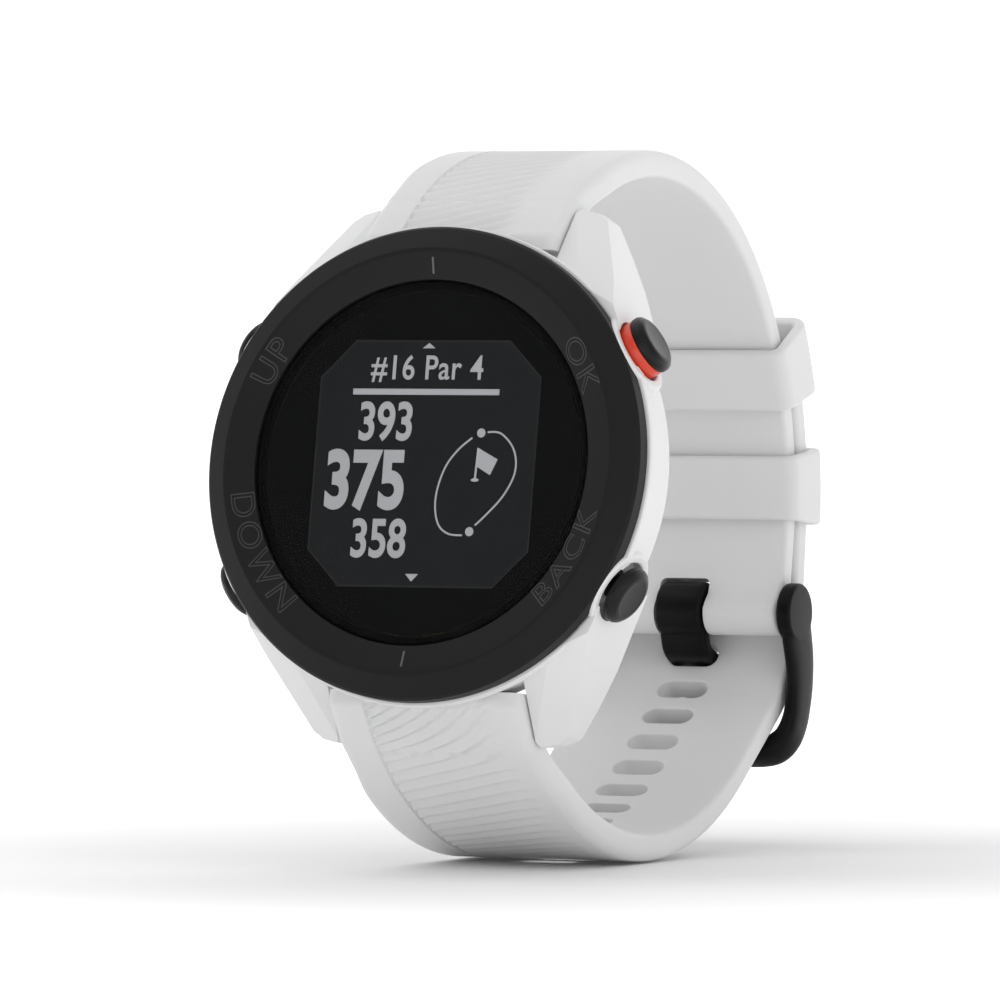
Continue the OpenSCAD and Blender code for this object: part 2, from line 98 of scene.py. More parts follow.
# Node helpers, for materials and for geometry

class Wire:
    def __init__(self, graph, socket):
        self.graph = graph
        self.socket = socket

    def maths(self, operation, *rest):
        return self.graph.add("ShaderNodeMath", {"operation": operation}, [self, *rest])

    def __add__(self, other):
        return self.maths("ADD", other)

    def __radd__(self, other):
        return self.maths("ADD", other)

    def __sub__(self, other):
        return self.maths("SUBTRACT", other)

    def __rsub__(self, other):
        return self.graph.add("ShaderNodeMath", {"operation": "SUBTRACT"}, [other, self])

    def __mul__(self, other):
        return self.maths("MULTIPLY", other)

    def __rmul__(self, other):
        return self.maths("MULTIPLY", other)

    def __truediv__(self, other):
        return self.maths("DIVIDE", other)

    def smoothly(self, low, high):
        return self.graph.add("ShaderNodeMapRange", {"interpolation_type": "SMOOTHSTEP"},
                              {"Value": self, "From Min": low, "From Max": high})


class Graph:
    def __init__(self, tree):
        self.tree = tree

    def add(self, kind, settings=None, inputs=None, output=0):
        node = self.tree.nodes.new(kind)
        for key, value in (settings or {}).items():
            if key == "stops":
                while len(node.color_ramp.elements) < len(value):
                    node.color_ramp.elements.new(0.5)
                for stop, (at, grey) in zip(node.color_ramp.elements, value):
                    stop.position = at
                    stop.color = (grey, grey, grey, 1)
            else:
                setattr(node, key, value)
        pairs = inputs.items() if isinstance(inputs, dict) else enumerate(inputs or [])
        for key, value in pairs:
            if isinstance(value, Wire):
                self.tree.links.new(value.socket, node.inputs[key])
            elif value is not None:
                node.inputs[key].default_value = value
        return Wire(self, node.outputs[output]) if len(node.outputs) else None


def newMaterial(name, color):
    material = bpy.data.materials.new(name)
    material.use_nodes = True
    material.node_tree.nodes.clear()
    material.diffuse_color = (*color, 1)
    return material, Graph(material.node_tree)


def tinted(color, factor):
    return tuple(min(1, c * factor) for c in color) + (1,)


# A moulded surface: slow colour drift, fine grain in roughness and bump
def mouldedMaterial(name, color, roughness, grain=5200, depth=0.000012, drift=0.05,
                    metallic=0, coat=0, coatRoughness=0.1, sheen=0, specular=0.5):
    material, g = newMaterial(name, color)
    place = g.add("ShaderNodeTexCoord", output=3)
    slow = g.add("ShaderNodeTexNoise", {}, {"Vector": place, "Scale": 90, "Detail": 3})
    fine = g.add("ShaderNodeTexNoise", {}, {"Vector": place, "Scale": grain, "Detail": 2,
                                            "Roughness": 0.6})
    speck = g.add("ShaderNodeTexVoronoi", {"feature": "F1"},
                  {"Vector": place, "Scale": grain * 0.35})
    base = g.add("ShaderNodeMix", {"data_type": "RGBA"},
                 {0: slow, 6: tinted(color, 1 - drift), 7: tinted(color, 1 + drift)}, 2)
    rough = slow * 0.06 + fine * 0.1 + (roughness - 0.08)
    height = fine * 0.7 + speck * 0.3
    bump = g.add("ShaderNodeBump", {}, {"Strength": 0.5, "Distance": depth, "Height": height})
    shader = g.add("ShaderNodeBsdfPrincipled", {}, {
        "Base Color": base, "Roughness": rough, "Normal": bump, "Metallic": metallic,
        "Coat Weight": coat, "Coat Roughness": coatRoughness, "Sheen Weight": sheen,
        "Specular IOR Level": specular})
    g.add("ShaderNodeOutputMaterial", {}, [shader])
    return material


# A turned or brushed metal, with streaks along one axis
def brushedMaterial(name, color, roughness, stretch=(1, 1, 0.04), streaks=9000):
    material, g = newMaterial(name, color)
    place = g.add("ShaderNodeTexCoord", output=3)
    pulled = g.add("ShaderNodeMapping", {}, {"Vector": place, "Scale": stretch})
    lines = g.add("ShaderNodeTexNoise", {}, {"Vector": pulled, "Scale": streaks, "Detail": 3})
    slow = g.add("ShaderNodeTexNoise", {}, {"Vector": place, "Scale": 300, "Detail": 2})
    base = g.add("ShaderNodeMix", {"data_type": "RGBA"},
                 {0: lines * 0.5 + slow * 0.5, 6: tinted(color, 0.8), 7: tinted(color, 1.1)}, 2)
    bump = g.add("ShaderNodeBump", {}, {"Strength": 0.4, "Distance": 0.000006, "Height": lines})
    shader = g.add("ShaderNodeBsdfPrincipled", {}, {
        "Base Color": base, "Roughness": lines * 0.16 + (roughness - 0.08), "Normal": bump,
        "Metallic": 1})
    g.add("ShaderNodeOutputMaterial", {}, [shader])
    return material


# Cover glass: almost clear face on, a dark mirror at a slant
def coverGlassMaterial(name):
    material, g = newMaterial(name, (0.02, 0.02, 0.02))
    place = g.add("ShaderNodeTexCoord", output=3)
    smear = g.add("ShaderNodeTexNoise", {}, {"Vector": place, "Scale": 160, "Detail": 4})
    gloss = g.add("ShaderNodeBsdfPrincipled", {}, {
        "Base Color": (0.006, 0.006, 0.007, 1), "Roughness": smear * 0.05 + 0.02,
        "Specular IOR Level": 0.5})
    clear = g.add("ShaderNodeBsdfTransparent", {}, {"Color": (0.93, 0.94, 0.95, 1)})
    facing = g.add("ShaderNodeLayerWeight", {}, {"Blend": 0.28})
    mixed = g.add("ShaderNodeMixShader", {}, [facing * 0.5 + (smear * 0.03 + 0.12), clear, gloss])
    g.add("ShaderNodeOutputMaterial", {}, [mixed])
    return material


# The screen: a fine pixel grid over dark grey, with a painted glow that brightens it in place of light
def screenMaterial(name, color, paintedGlow):
    material, g = newMaterial(name, color)
    place = g.add("ShaderNodeTexCoord", output=3)
    parts = [g.add("ShaderNodeSeparateXYZ", {}, [place], k) for k in (0, 2)]
    cells = [(p * 7600).maths("FRACT").maths("PINGPONG", 0.5) for p in parts]
    line = cells[0].maths("MINIMUM", cells[1]).smoothly(0.02, 0.12)
    slow = g.add("ShaderNodeTexNoise", {}, {"Vector": place, "Scale": 60, "Detail": 1})
    base = g.add("ShaderNodeMix", {"data_type": "RGBA"},
                 {0: line * 0.7 + slow * 0.3, 6: tinted(color, 0.7), 7: tinted(color, 1.15)}, 2)
    shader = g.add("ShaderNodeBsdfPrincipled", {}, {
        "Base Color": base, "Roughness": slow * 0.1 + 0.38, "Emission Color": base,
        "Emission Strength": paintedGlow})
    g.add("ShaderNodeOutputMaterial", {}, [shader])
    return material


caseWhite = mouldedMaterial("caseWhite", (0.83, 0.83, 0.835), 0.36, 5600, 0.000008, 0.015)
strapWhite = mouldedMaterial("strapWhite", (0.8, 0.8, 0.805), 0.5, 4200, 0.000012, 0.02, sheen=0.08)
bezelBlack = mouldedMaterial("bezelBlack", (0.009, 0.009, 0.0095), 0.5, 5200, 0.000014, 0.12,
                             specular=0.18)
labelGrey = mouldedMaterial("labelGrey", (0.022, 0.022, 0.023), 0.4, 6000, 0.000006, 0.08)
tickGrey = mouldedMaterial("tickGrey", (0.09, 0.09, 0.092), 0.42, 6000, 0.000006, 0.08)
buttonBlack = mouldedMaterial("buttonBlack", (0.006, 0.006, 0.0065), 0.34, 6400, 0.000008, 0.1,
                              specular=0.25)
buckleBlack = mouldedMaterial("buckleBlack", (0.003, 0.003, 0.0032), 0.4, 5200, 0.000008, 0.1,
                              specular=0.14)
collarRed = mouldedMaterial("collarRed", (0.72, 0.045, 0.012), 0.3, 5200, 0.000006, 0.05, coat=0.3)
coverDark = mouldedMaterial("coverDark", (0.05, 0.05, 0.053), 0.42, 3400, 0.00002, 0.08)
borderBlack = mouldedMaterial("borderBlack", (0.002, 0.002, 0.0022), 0.3, 260, 0.000001, 0.2,
                              specular=0.1)
rubberDark = mouldedMaterial("rubberDark", (0.03, 0.03, 0.03), 0.6, 3600, 0.00002, 0.1)
boardGreen = mouldedMaterial("boardGreen", (0.02, 0.13, 0.05), 0.4, 2600, 0.00002, 0.2)
chipBlack = mouldedMaterial("chipBlack", (0.02, 0.02, 0.022), 0.5, 5200, 0.00001, 0.1)
flexAmber = mouldedMaterial("flexAmber", (0.55, 0.26, 0.05), 0.35, 3000, 0.00001, 0.15)
frameGrey = mouldedMaterial("frameGrey", (0.14, 0.14, 0.15), 0.5, 3600, 0.00002, 0.08)
lightGuide = mouldedMaterial("lightGuide", (0.82, 0.82, 0.8), 0.3, 3000, 0.00001, 0.03)
foilSilver = brushedMaterial("foilSilver", (0.62, 0.62, 0.64), 0.4, (1, 1, 1), 2400)
steelBright = brushedMaterial("steelBright", (0.62, 0.62, 0.64), 0.26, (0.04, 1, 1))
steelSatin = brushedMaterial("steelSatin", (0.5, 0.5, 0.52), 0.34, (1, 1, 1), 5000)
contactGold = brushedMaterial("contactGold", (0.9, 0.62, 0.24), 0.25, (1, 1, 1), 6000)
glassClear = coverGlassMaterial("glassClear")
# Each screen layer glows a little: painted light that brightens the panel, the readings and the
# octagon edge
screenDark = screenMaterial("screenDark", (0.014, 0.014, 0.0145), 0.1)
screenLight = screenMaterial("screenLight", (0.68, 0.68, 0.68), 0.45)
screenEdge = screenMaterial("screenEdge", (0.035, 0.035, 0.036), 0.3)

carried = {
    "lens": glassClear, "lens_adhesive": borderBlack, "lens_border": borderBlack,
    "display_panel": screenDark, "backlight": lightGuide, "inner_frame": frameGrey,
    "gps_antenna": contactGold, "main_board": boardGreen, "shield_can": steelSatin,
    "board_chips": chipBlack, "switch_flex": flexAmber, "side_switches": steelSatin,
    "button_sleeves": steelSatin, "battery": foilSilver, "battery_pad": rubberDark,
    "case_gasket": rubberDark, "charging_contacts": contactGold,
    "seal_up": rubberDark, "seal_down": rubberDark, "seal_ok": rubberDark,
    "seal_back": rubberDark, "clip_up": steelSatin, "clip_down": steelSatin,
    "clip_ok": steelSatin, "clip_back": steelSatin, "bar_tube_upper": steelBright,
    "bar_tube_lower": steelBright, "bar_pin_upper": steelBright, "bar_pin_lower": steelBright,
    "release_lever_upper": steelBright, "release_lever_lower": steelBright,
    "buckle_bar": steelBright,
}
for name, material in carried.items():
    meshData = nodes[name].data
    meshData.materials.clear()
    meshData.materials.append(material)
print("materials made,", len(bpy.data.materials))


# Mesh helpers, all in mm until a piece is placed

def fillet(points, radii, steps=5):
    out = []
    count = len(points)
    for i in range(count):
        radius = radii[i] if isinstance(radii, (list, tuple)) else radii
        here = Vector(points[i])
        back = Vector(points[i - 1]) - here
        ahead = Vector(points[(i + 1) % count]) - here
        angle = back.angle(ahead)
        if radius <= 0 or angle > math.pi - 0.03:
            out.append(tuple(here))
            continue
        run = min(radius / math.tan(angle / 2), 0.48 * back.length, 0.48 * ahead.length)
        radius = run * math.tan(angle / 2)
        centre = here + (back.normalized() + ahead.normalized()).normalized() * (
            radius / math.sin(angle / 2))
        first = here + back.normalized() * run - centre
        last = here + ahead.normalized() * run - centre
        start = math.atan2(first.y, first.x)
        turn = (math.atan2(last.y, last.x) - start + math.pi) % (2 * math.pi) - math.pi
        for k in range(steps + 1):
            a = start + turn * k / steps
            out.append((centre.x + radius * math.cos(a), centre.y + radius * math.sin(a)))
    return out


def rectangle(left, right, low, high):
    return [(left, low), (right, low), (right, high), (left, high)]


# An outline of radius and height points swept round the upright axis
def turned(outline, segments=192):
    verts, faces = [], []
    count = len(outline)
    for k in range(segments):
        a = 2 * math.pi * k / segments
        verts += [(r * math.cos(a), r * math.sin(a), z) for r, z in outline]
        nextRow = (k + 1) % segments * count
        for i in range(count):
            j = (i + 1) % count
            faces.append((k * count + i, k * count + j, nextRow + j, nextRow + i))
    return verts, faces


# Rings of points joined one after another, closed with a face at each end
def lofted(rings, closed=False):
    verts = [p for ring in rings for p in ring]
    count = len(rings[0])
    faces = []
    for k in range(len(rings) - (0 if closed else 1)):
        a, b = k * count, (k + 1) % len(rings) * count
        for i in range(count):
            j = (i + 1) % count
            faces.append((a + i, a + j, b + j, b + i))
    if not closed:
        faces.append(tuple(range(count)))
        faces.append(tuple(reversed(range(len(verts) - count, len(verts)))))
    return verts, faces


class Shells:
    def __init__(self):
        self.verts, self.faces = [], []

    def add(self, shape, place=Matrix()):
        start = len(self.verts)
        self.verts += [tuple(place @ Vector(v)) for v in shape[0]]
        self.faces += [tuple(start + i for i in f) for f in shape[1]]

    def build(self, name, material, marks=None):
        mesh = bpy.data.meshes.new(name)
        mesh.from_pydata(self.verts, [], self.faces)
        for mark, values in (marks or {}).items():
            mesh.attributes.new(mark, "FLOAT", "POINT").data.foreach_set("value", values)
        shape = bmesh.new()
        shape.from_mesh(mesh)
        bmesh.ops.remove_doubles(shape, verts=shape.verts, dist=0.0004)
        bmesh.ops.recalc_face_normals(shape, faces=shape.faces)
        shape.to_mesh(mesh)
        shape.free()
        mesh.materials.append(material)
        piece = bpy.data.objects.new(name, mesh)
        bpy.context.scene.collection.objects.link(piece)
        return piece


def bakeModifiers(piece):
    graph = bpy.context.evaluated_depsgraph_get()
    baked = bpy.data.meshes.new_from_object(piece.evaluated_get(graph), depsgraph=graph)
    piece.modifiers.clear()
    piece.data = baked
    return piece


def cutWith(piece, shape, place=Matrix()):
    cutter = Shells()
    cutter.add(shape, place)
    tool = cutter.build("cutter", piece.data.materials[0])
    cut = piece.modifiers.new("cut", "BOOLEAN")
    cut.operation = "DIFFERENCE"
    cut.solver = "EXACT"
    cut.object = tool
    bakeModifiers(piece)
    bpy.data.objects.remove(tool)


def finishPiece(piece, place, body, replaced=(), sharp=38):
    piece.data.transform(place)
    piece.data.shade_smooth()
    piece.data.set_sharp_from_angle(angle=math.radians(sharp))
    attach(piece, body)
    if replaced:
        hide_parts(*replaced)
    return piece


def boxShape(low, high):
    corners = [(x, y, z) for x in (low[0], high[0]) for y in (low[1], high[1])
               for z in (low[2], high[2])]
    return corners, [(0, 1, 3, 2), (4, 6, 7, 5), (0, 4, 5, 1), (2, 3, 7, 6), (0, 2, 6, 4),
                     (1, 5, 7, 3)]


def setInput(modifier, name, value):
    for item in modifier.node_group.interface.items_tree:
        if item.item_type == "SOCKET" and item.in_out == "INPUT" and item.name == name:
            modifier[item.identifier] = value


def newGeometryTree(name, inputs):
    tree = bpy.data.node_groups.new(name, "GeometryNodeTree")
    tree.interface.new_socket("Geometry", in_out="INPUT", socket_type="NodeSocketGeometry")
    for label, kind in inputs.items():
        tree.interface.new_socket(label, in_out="INPUT", socket_type=kind)
    tree.interface.new_socket("Geometry", in_out="OUTPUT", socket_type="NodeSocketGeometry")
    g = Graph(tree)
    source = tree.nodes.new("NodeGroupInput")
    given = {s.name: Wire(g, s) for s in source.outputs if s.name}
    return tree, g, given


def endGeometryTree(g, geometry, material):
    real = g.add("GeometryNodeRealizeInstances", {}, {"Geometry": geometry})
    done = g.add("GeometryNodeSetMaterial", {}, {"Geometry": real, "Material": material})
    g.add("NodeGroupOutput", {}, [done])


# Copies of one small mesh spaced evenly round a circle
def roundArrayTree():
    tree, g, given = newGeometryTree("roundArray", {
        "Count": "NodeSocketInt", "Radius": "NodeSocketFloat", "Start": "NodeSocketFloat",
        "Material": "NodeSocketMaterial"})
    step = 2 * math.pi * g.add("GeometryNodeInputIndex") / given["Count"] + given["Start"]
    spot = g.add("ShaderNodeCombineXYZ", {}, {"X": step.maths("COSINE") * given["Radius"],
                                              "Y": step.maths("SINE") * given["Radius"]})
    spots = g.add("GeometryNodeMeshLine", {}, {"Count": given["Count"]})
    spots = g.add("GeometryNodeSetPosition", {}, {"Geometry": spots, "Position": spot})
    facing = g.add("ShaderNodeCombineXYZ", {}, {"Z": step})
    copies = g.add("GeometryNodeInstanceOnPoints", {},
                   {"Points": spots, "Instance": given["Geometry"], "Rotation": facing})
    endGeometryTree(g, copies, given["Material"])
    return tree


def roundArray(piece, count, radius, start, material):
    modifier = piece.modifiers.new("roundArray", "NODES")
    modifier.node_group = bpy.data.node_groups.get("roundArray") or roundArrayTree()
    for name, value in (("Count", count), ("Radius", float(radius)),
                        ("Start", math.radians(start)), ("Material", material)):
        setInput(modifier, name, value)
    return bakeModifiers(piece)


# Case

caseSize = {
    "pocketFloor": 20.9, "pocket": 2.95, "sleeve": 1.83, "sleeveEnd": 17.9, "padOuter": 3.85,
    "padTop": 22.0, "padFoot": 18.95, "buttonDepth": 3.5, "lugBevel": 0.32, "lugClear": 19.15,
    "strapGap": 10.02, "strapRoom": (20.15, 27),
    "buttonAngles": {"up": 150, "down": 210, "ok": 30, "back": -30},
    "lugPlan": [(10.05, 12), (10.05, 24.4), (10.35, 24.8), (12, 24.5), (13, 23.8),
                (16.2, 17.5), (19, 10.5)],
    "lugSide": [(10, -1.25), (26, -1.25), (24.9, -7.6), (24.6, -9.2), (23.6, -10.2),
                (20.5, -10.3), (10, -9.3)],
    "lugRoot": (13.2, 17.3, -1.5), "lugTipIn": (10.05, 24.6, -6.9),
    "lugTipOut": (12.9, 23.7, -7.4), "lugInner": (10.05, 19.7, -3.6),
}


# Stands a turned shape on its side, with its axis pointing out along one button
def onButton(angle, out=0.0):
    return (Matrix.Rotation(math.radians(angle), 4, "Z")
            @ Matrix.Translation((out, 0, -caseSize["buttonDepth"]))
            @ Matrix.Rotation(math.radians(90), 4, "Y"))


# A block trimmed by the planes of the lug's plan and side, then by its two slanting facets
def lugShape():
    shape = bmesh.new()
    verts, faces = boxShape((8, 8, -12), (22, 27, 0))
    made = [shape.verts.new(v) for v in verts]
    for f in faces:
        shape.faces.new([made[i] for i in f])
    planes = []
    plan, side = caseSize["lugPlan"], caseSize["lugSide"]
    planMid = Vector((13, 18, 0))
    sideMid = Vector((0, 18, -5.5))
    for i in range(len(plan)):
        a = Vector((*plan[i], 0))
        b = Vector((*plan[(i + 1) % len(plan)], 0))
        planes.append((a, (b - a).cross(Vector((0, 0, 1))), planMid))
    for i in range(len(side)):
        a = Vector((0, *side[i]))
        b = Vector((0, *side[(i + 1) % len(side)]))
        planes.append((a, (b - a).cross(Vector((1, 0, 0))), sideMid))
    root, tipIn, tipOut, inner = [Vector(caseSize[k]) for k in
                                  ("lugRoot", "lugTipIn", "lugTipOut", "lugInner")]
    middle = Vector((13.5, 16, -6.5))
    planes.append((root, (tipIn - root).cross(tipOut - root), middle))
    planes.append((tipIn, (inner - tipIn).cross(root - tipIn), middle))
    for point, normal, keep in planes:
        if (keep - point).dot(normal) > 0:
            normal = -normal
        everything = shape.verts[:] + shape.edges[:] + shape.faces[:]
        bmesh.ops.bisect_plane(shape, geom=everything, dist=0.00001, plane_co=point,
                               plane_no=normal, clear_outer=True)
        rim = [e for e in shape.edges if e.is_boundary]
        if rim:
            bmesh.ops.contextual_create(shape, geom=rim)
    bmesh.ops.dissolve_limit(shape, angle_limit=0.01, verts=shape.verts, edges=shape.edges)
    bmesh.ops.bevel(shape, geom=shape.edges[:], offset=caseSize["lugBevel"], segments=4,
                    profile=0.5, affect="EDGES", clamp_overlap=True)
    shape.verts.index_update()
    verts = [tuple(v.co) for v in shape.verts]
    faces = [tuple(v.index for v in f.verts) for f in shape.faces]
    shape.free()
    return verts, faces


bodyOutline = fillet(
    [(18.9, -1.25), (22.15, -1.25), (22.15, -2.15), (21.8, -2.5), (21.6, -6.4), (20.6, -8.4),
     (19.3, -9.3), (18.9, -9.3), (18.9, -8.1), (18, -8.1), (18, -7.5), (18.9, -7.5)],
    [0.05, 0.22, 0.2, 0.4, 2.5, 1.4, 0.2, 0.05, 0.02, 0.02, 0.02, 0.02], 6)


# A round hole at each button, from one radius outwards
def cutButtons(piece, radius, start):
    pocket = turned(rectangle(0, radius, 0, 4), 64)
    for angle in caseSize["buttonAngles"].values():
        cutWith(piece, pocket, onButton(angle, start))


caseShells = Shells()
caseShells.add(turned(bodyOutline, 256))
casePiece = caseShells.build("caseBody", caseWhite)
cutButtons(casePiece, caseSize["pocket"], caseSize["pocketFloor"])
cutButtons(casePiece, caseSize["sleeve"], caseSize["sleeveEnd"])
gap = caseSize["strapGap"]
for side in (1, -1):
    ends = sorted(y * side for y in caseSize["strapRoom"])
    cutWith(casePiece, boxShape((-gap, ends[0], -12), (gap, ends[1], -2.5)))
lugs = Shells()
pads = Shells()
padIn, padOut, padTop, padFoot = [caseSize[k] for k in ("pocket", "padOuter", "padTop", "padFoot")]
padOutline = fillet([(padIn, padFoot), (padIn, padTop), (padOut, padTop), (padOut + 0.5, padFoot)],
                    [0, 0.22, 0.3, 0], 6)
for angle in caseSize["buttonAngles"].values():
    pads.add(turned(padOutline, 96), onButton(angle))
lug = lugShape()
for mx in (1, -1):
    for my in (1, -1):
        lugs.add(lug, Matrix.Diagonal((mx, my, 1, 1)))
lugPiece = lugs.build("caseLugs", caseWhite)
cutButtons(lugPiece, caseSize["pocket"], caseSize["pocketFloor"])
cutWith(lugPiece, turned(rectangle(0, caseSize["lugClear"], -12, 1), 256))
padPiece = pads.build("casePads", caseWhite)
joined = bmesh.new()
for part in (casePiece, lugPiece, padPiece):
    joined.from_mesh(part.data)
joined.to_mesh(casePiece.data)
joined.free()
for part in (lugPiece, padPiece):
    bpy.data.objects.remove(part)
finishPiece(casePiece, inHead, "watch", ["case_middle"])
print("case made")


# Bezel, with its ticks and outlined labels

bezelSize = {
    "outline": [(16.85, 0), (16.85, 0.95), (19.35, 1.7), (19.7, 1.7), (21.6, 0.75), (21.85, 0.4),
                (21.85, -1.05), (21.7, -1.22), (18.85, -1.22), (18.85, -1.45), (17.6, -1.45),
                (17.6, -1.25), (15.9, -1.25), (15.9, 0)],
    "rounding": [0, 0.12, 0.25, 0.25, 0.35, 0.2, 0.1, 0.05, 0, 0, 0, 0, 0, 0],
    "labelRadius": 18.1, "labelHeight": 2.35, "stroke": 0.055,
    "labels": {"UP": (150, True), "OK": (30, True), "DOWN": (209, False), "BACK": (-29, False)},
}


# How high the sloping face stands at one radius
def ringHeight(r):
    (lowR, lowZ), (highR, highZ) = bezelSize["outline"][1:3]
    return lowZ + (min(max(r, lowR), highR) - lowR) * (highZ - lowZ) / (highR - lowR)


bezelShells = Shells()
bezelShells.add(turned(fillet(bezelSize["outline"], bezelSize["rounding"], 6), 288))
bezelPiece = bezelShells.build("bezelRing", bezelBlack)
cutButtons(bezelPiece, caseSize["pocket"], caseSize["pocketFloor"])
finishPiece(bezelPiece, inHead, "watch", ["bezel"])

tickSize = {"length": 1.5, "width": 0.2, "radius": 18.1}
tickShells = Shells()
half = tickSize["length"] / 2
tickRings = []
for v in (-half, -half + 0.05, half - 0.05, half):
    wide = tickSize["width"] / 2 * (0.6 if abs(v) == half else 1)
    z = ringHeight(tickSize["radius"] + v)
    tickRings.append([(v, -wide, z - 0.05), (v, wide, z - 0.05), (v, wide, z + 0.012),
                      (v, -wide, z + 0.012)])
tickShells.add(lofted(tickRings))
tickPiece = roundArray(tickShells.build("bezelTicks", tickGrey), 2, tickSize["radius"], 90, tickGrey)
finishPiece(tickPiece, inHead, "watch", ())


def letterMesh(words, size, stroke=0.0, bold=0.0, squeeze=1.0, spacing=1.0, fill=True, thick=0.0):
    font = bpy.data.curves.new("letters", "FONT")
    font.body = words
    font.size = size
    font.align_x = "CENTER"
    font.align_y = "CENTER"
    font.offset = bold
    font.space_character = spacing
    font.resolution_u = 6
    if fill:
        font.extrude = thick
    else:
        font.fill_mode = "NONE"
        font.bevel_depth = stroke
        font.bevel_resolution = 1
    holder = bpy.data.objects.new("letters", font)
    bpy.context.scene.collection.objects.link(holder)
    bpy.context.view_layer.update()
    graph = bpy.context.evaluated_depsgraph_get()
    mesh = bpy.data.meshes.new_from_object(holder.evaluated_get(graph), depsgraph=graph)
    bpy.data.objects.remove(holder)
    verts = [(v.co.x * squeeze, v.co.y, v.co.z) for v in mesh.vertices]
    faces = [tuple(p.vertices) for p in mesh.polygons]
    bpy.data.meshes.remove(mesh)
    return verts, faces


labelShells = Shells()
for words, (angle, topsOut) in bezelSize["labels"].items():
    verts, faces = letterMesh(words, bezelSize["labelHeight"] * 1.28, bezelSize["stroke"],
                              fill=False, spacing=1.15, squeeze=1.15)
    bent = []
    for x, y, z in verts:
        flip = 1 if topsOut else -1
        r = bezelSize["labelRadius"] + y * flip
        a = math.radians(angle) - flip * x / bezelSize["labelRadius"]
        bent.append((r * math.cos(a), r * math.sin(a), ringHeight(r) + 0.01 + z * 0.5))
    labelShells.add((bent, faces))
finishPiece(labelShells.build("bezelLabels", labelGrey), inHead, "watch", ())
print("bezel made")


# What the screen shows, as thin layers on the panel

screenSize = {"base": 0.035, "raise": 0.012, "halfX": 11.25, "halfY": 11.4, "cut": 3.4,
              "edge": 0.16, "shift": -0.1, "greenShift": 0.5, "greenLine": 0.17, "spot": 0.42}


def flatShape(points, low, high):
    return lofted([[(x, y, low) for x, y in points], [(x, y, high) for x, y in points]])


def oval(x, y, wide, tall, count=24):
    turns = [2 * math.pi * k / count for k in range(count)]
    return [(x + wide * math.cos(a), y + tall * math.sin(a)) for a in turns]


def onGreen(points):
    return [(x + screenSize["greenShift"] + screenSize["shift"], y) for x, y in points]


def strokeShape(points, width, low, high, closed=False):
    rings = []
    count = len(points)
    for i, p in enumerate(points):
        a = Vector(points[i - 1] if (i or closed) else p)
        b = Vector(points[(i + 1) % count] if (i < count - 1 or closed) else p)
        along = (b - a).normalized()
        side = Vector((-along.y, along.x)) * width / 2
        rings.append([(p[0] + side.x, p[1] + side.y, low), (p[0] - side.x, p[1] - side.y, low),
                      (p[0] - side.x, p[1] - side.y, high), (p[0] + side.x, p[1] + side.y, high)])
    return lofted(rings, closed)


# A smooth curve through every point
def smoothLine(points, steps=8):
    out = []
    for i in range(len(points) - 1):
        a = Vector(points[max(i - 1, 0)])
        b, c = Vector(points[i]), Vector(points[i + 1])
        d = Vector(points[min(i + 2, len(points) - 1)])
        for k in range(steps):
            t = k / steps
            out.append(tuple(0.5 * ((2 * b) + (c - a) * t + (2 * a - 5 * b + 4 * c - d) * t * t
                                    + (3 * b - a - 3 * c + d) * t ** 3)))
    out.append(tuple(points[-1]))
    return out


low = screenSize["base"]
high = low + screenSize["raise"]
shift = screenSize["shift"]
readings = Shells()
for words, size, squeeze, spacing, bold, x, y in (
        ("#16 Par 4", 3.15, 0.86, 1.06, 0.034, -0.3, 8.75),
        ("393", 4.9, 0.78, 1.0, 0.07, -4.1, 3.7), ("375", 7.3, 0.76, 1.0, 0.11, -5.8, -1.8),
        ("358", 4.9, 0.78, 1.0, 0.07, -4.0, -7.1)):
    readings.add(letterMesh(words, size, bold=bold * size / 3, squeeze=squeeze, spacing=spacing,
                            thick=screenSize["raise"] / 2),
                 Matrix.Translation((x + shift, y, low + screenSize["raise"] / 2)))
readings.add(flatShape(rectangle(-7.7 + shift, 7.15 + shift, 6.35, 6.9), low, high))
readings.add(flatShape([(-0.85, 10.75), (0.45, 10.75), (-0.2, 11.25)], low, high),
             Matrix.Translation((shift - 0.1, -0.1, 0)))
readings.add(flatShape([(-0.85, -10.35), (-0.2, -11.05), (0.45, -10.35)], low, high),
             Matrix.Translation((shift - 0.1, 0.2, 0)))
greenRight = [(5.8, 2.95), (7.08, 2.86), (8.31, 1.76), (8.86, 0.34), (8.71, -1.21), (7.73, -3.02),
              (6.31, -4.58), (5.21, -5.62)]
greenLeft = [(3.98, -6.54), (2.63, -6.43), (1.57, -5.67), (1.07, -4.12), (1.14, -2.31),
             (1.81, -0.24), (2.96, 1.32), (4.28, 2.42)]
for line in (greenRight, greenLeft):
    readings.add(strokeShape(onGreen(smoothLine(line)), screenSize["greenLine"], low, high))
for x, y in onGreen([(5.15, 2.87), (4.7, -6.2)]):
    readings.add(flatShape(oval(x, y, screenSize["spot"], screenSize["spot"]), low, high))
flagPole = [(4.75, -1.4), (4.95, -1.4), (5.08, 1.45), (4.88, 1.5)]
flagCloth = [(4.95, 1.5), (7.0, 0.45), (6.35, -1.0), (5.0, -0.25)]
for outline in (flagPole, flagCloth):
    readings.add(flatShape(onGreen(outline), low, high))
readings.add(flatShape(oval(5.35 + shift, -1.45, 0.4, 0.16, 20), low, high))
finishPiece(readings.build("screenReadings", screenLight), inHead, "watch", ())
hx, hy, cut = screenSize["halfX"], screenSize["halfY"], screenSize["cut"]
corners = [(hx - cut, hy), (hx, hy - cut), (hx, cut - hy), (hx - cut, -hy), (cut - hx, -hy),
           (-hx, cut - hy), (-hx, hy - cut), (cut - hx, hy)]
edgeShells = Shells()
edgeShells.add(strokeShape([(x * 0.992, y * 0.992) for x, y in corners], screenSize["edge"], low,
                           high, True))
finishPiece(edgeShells.build("screenEdge", screenEdge), inHead, "watch", ())
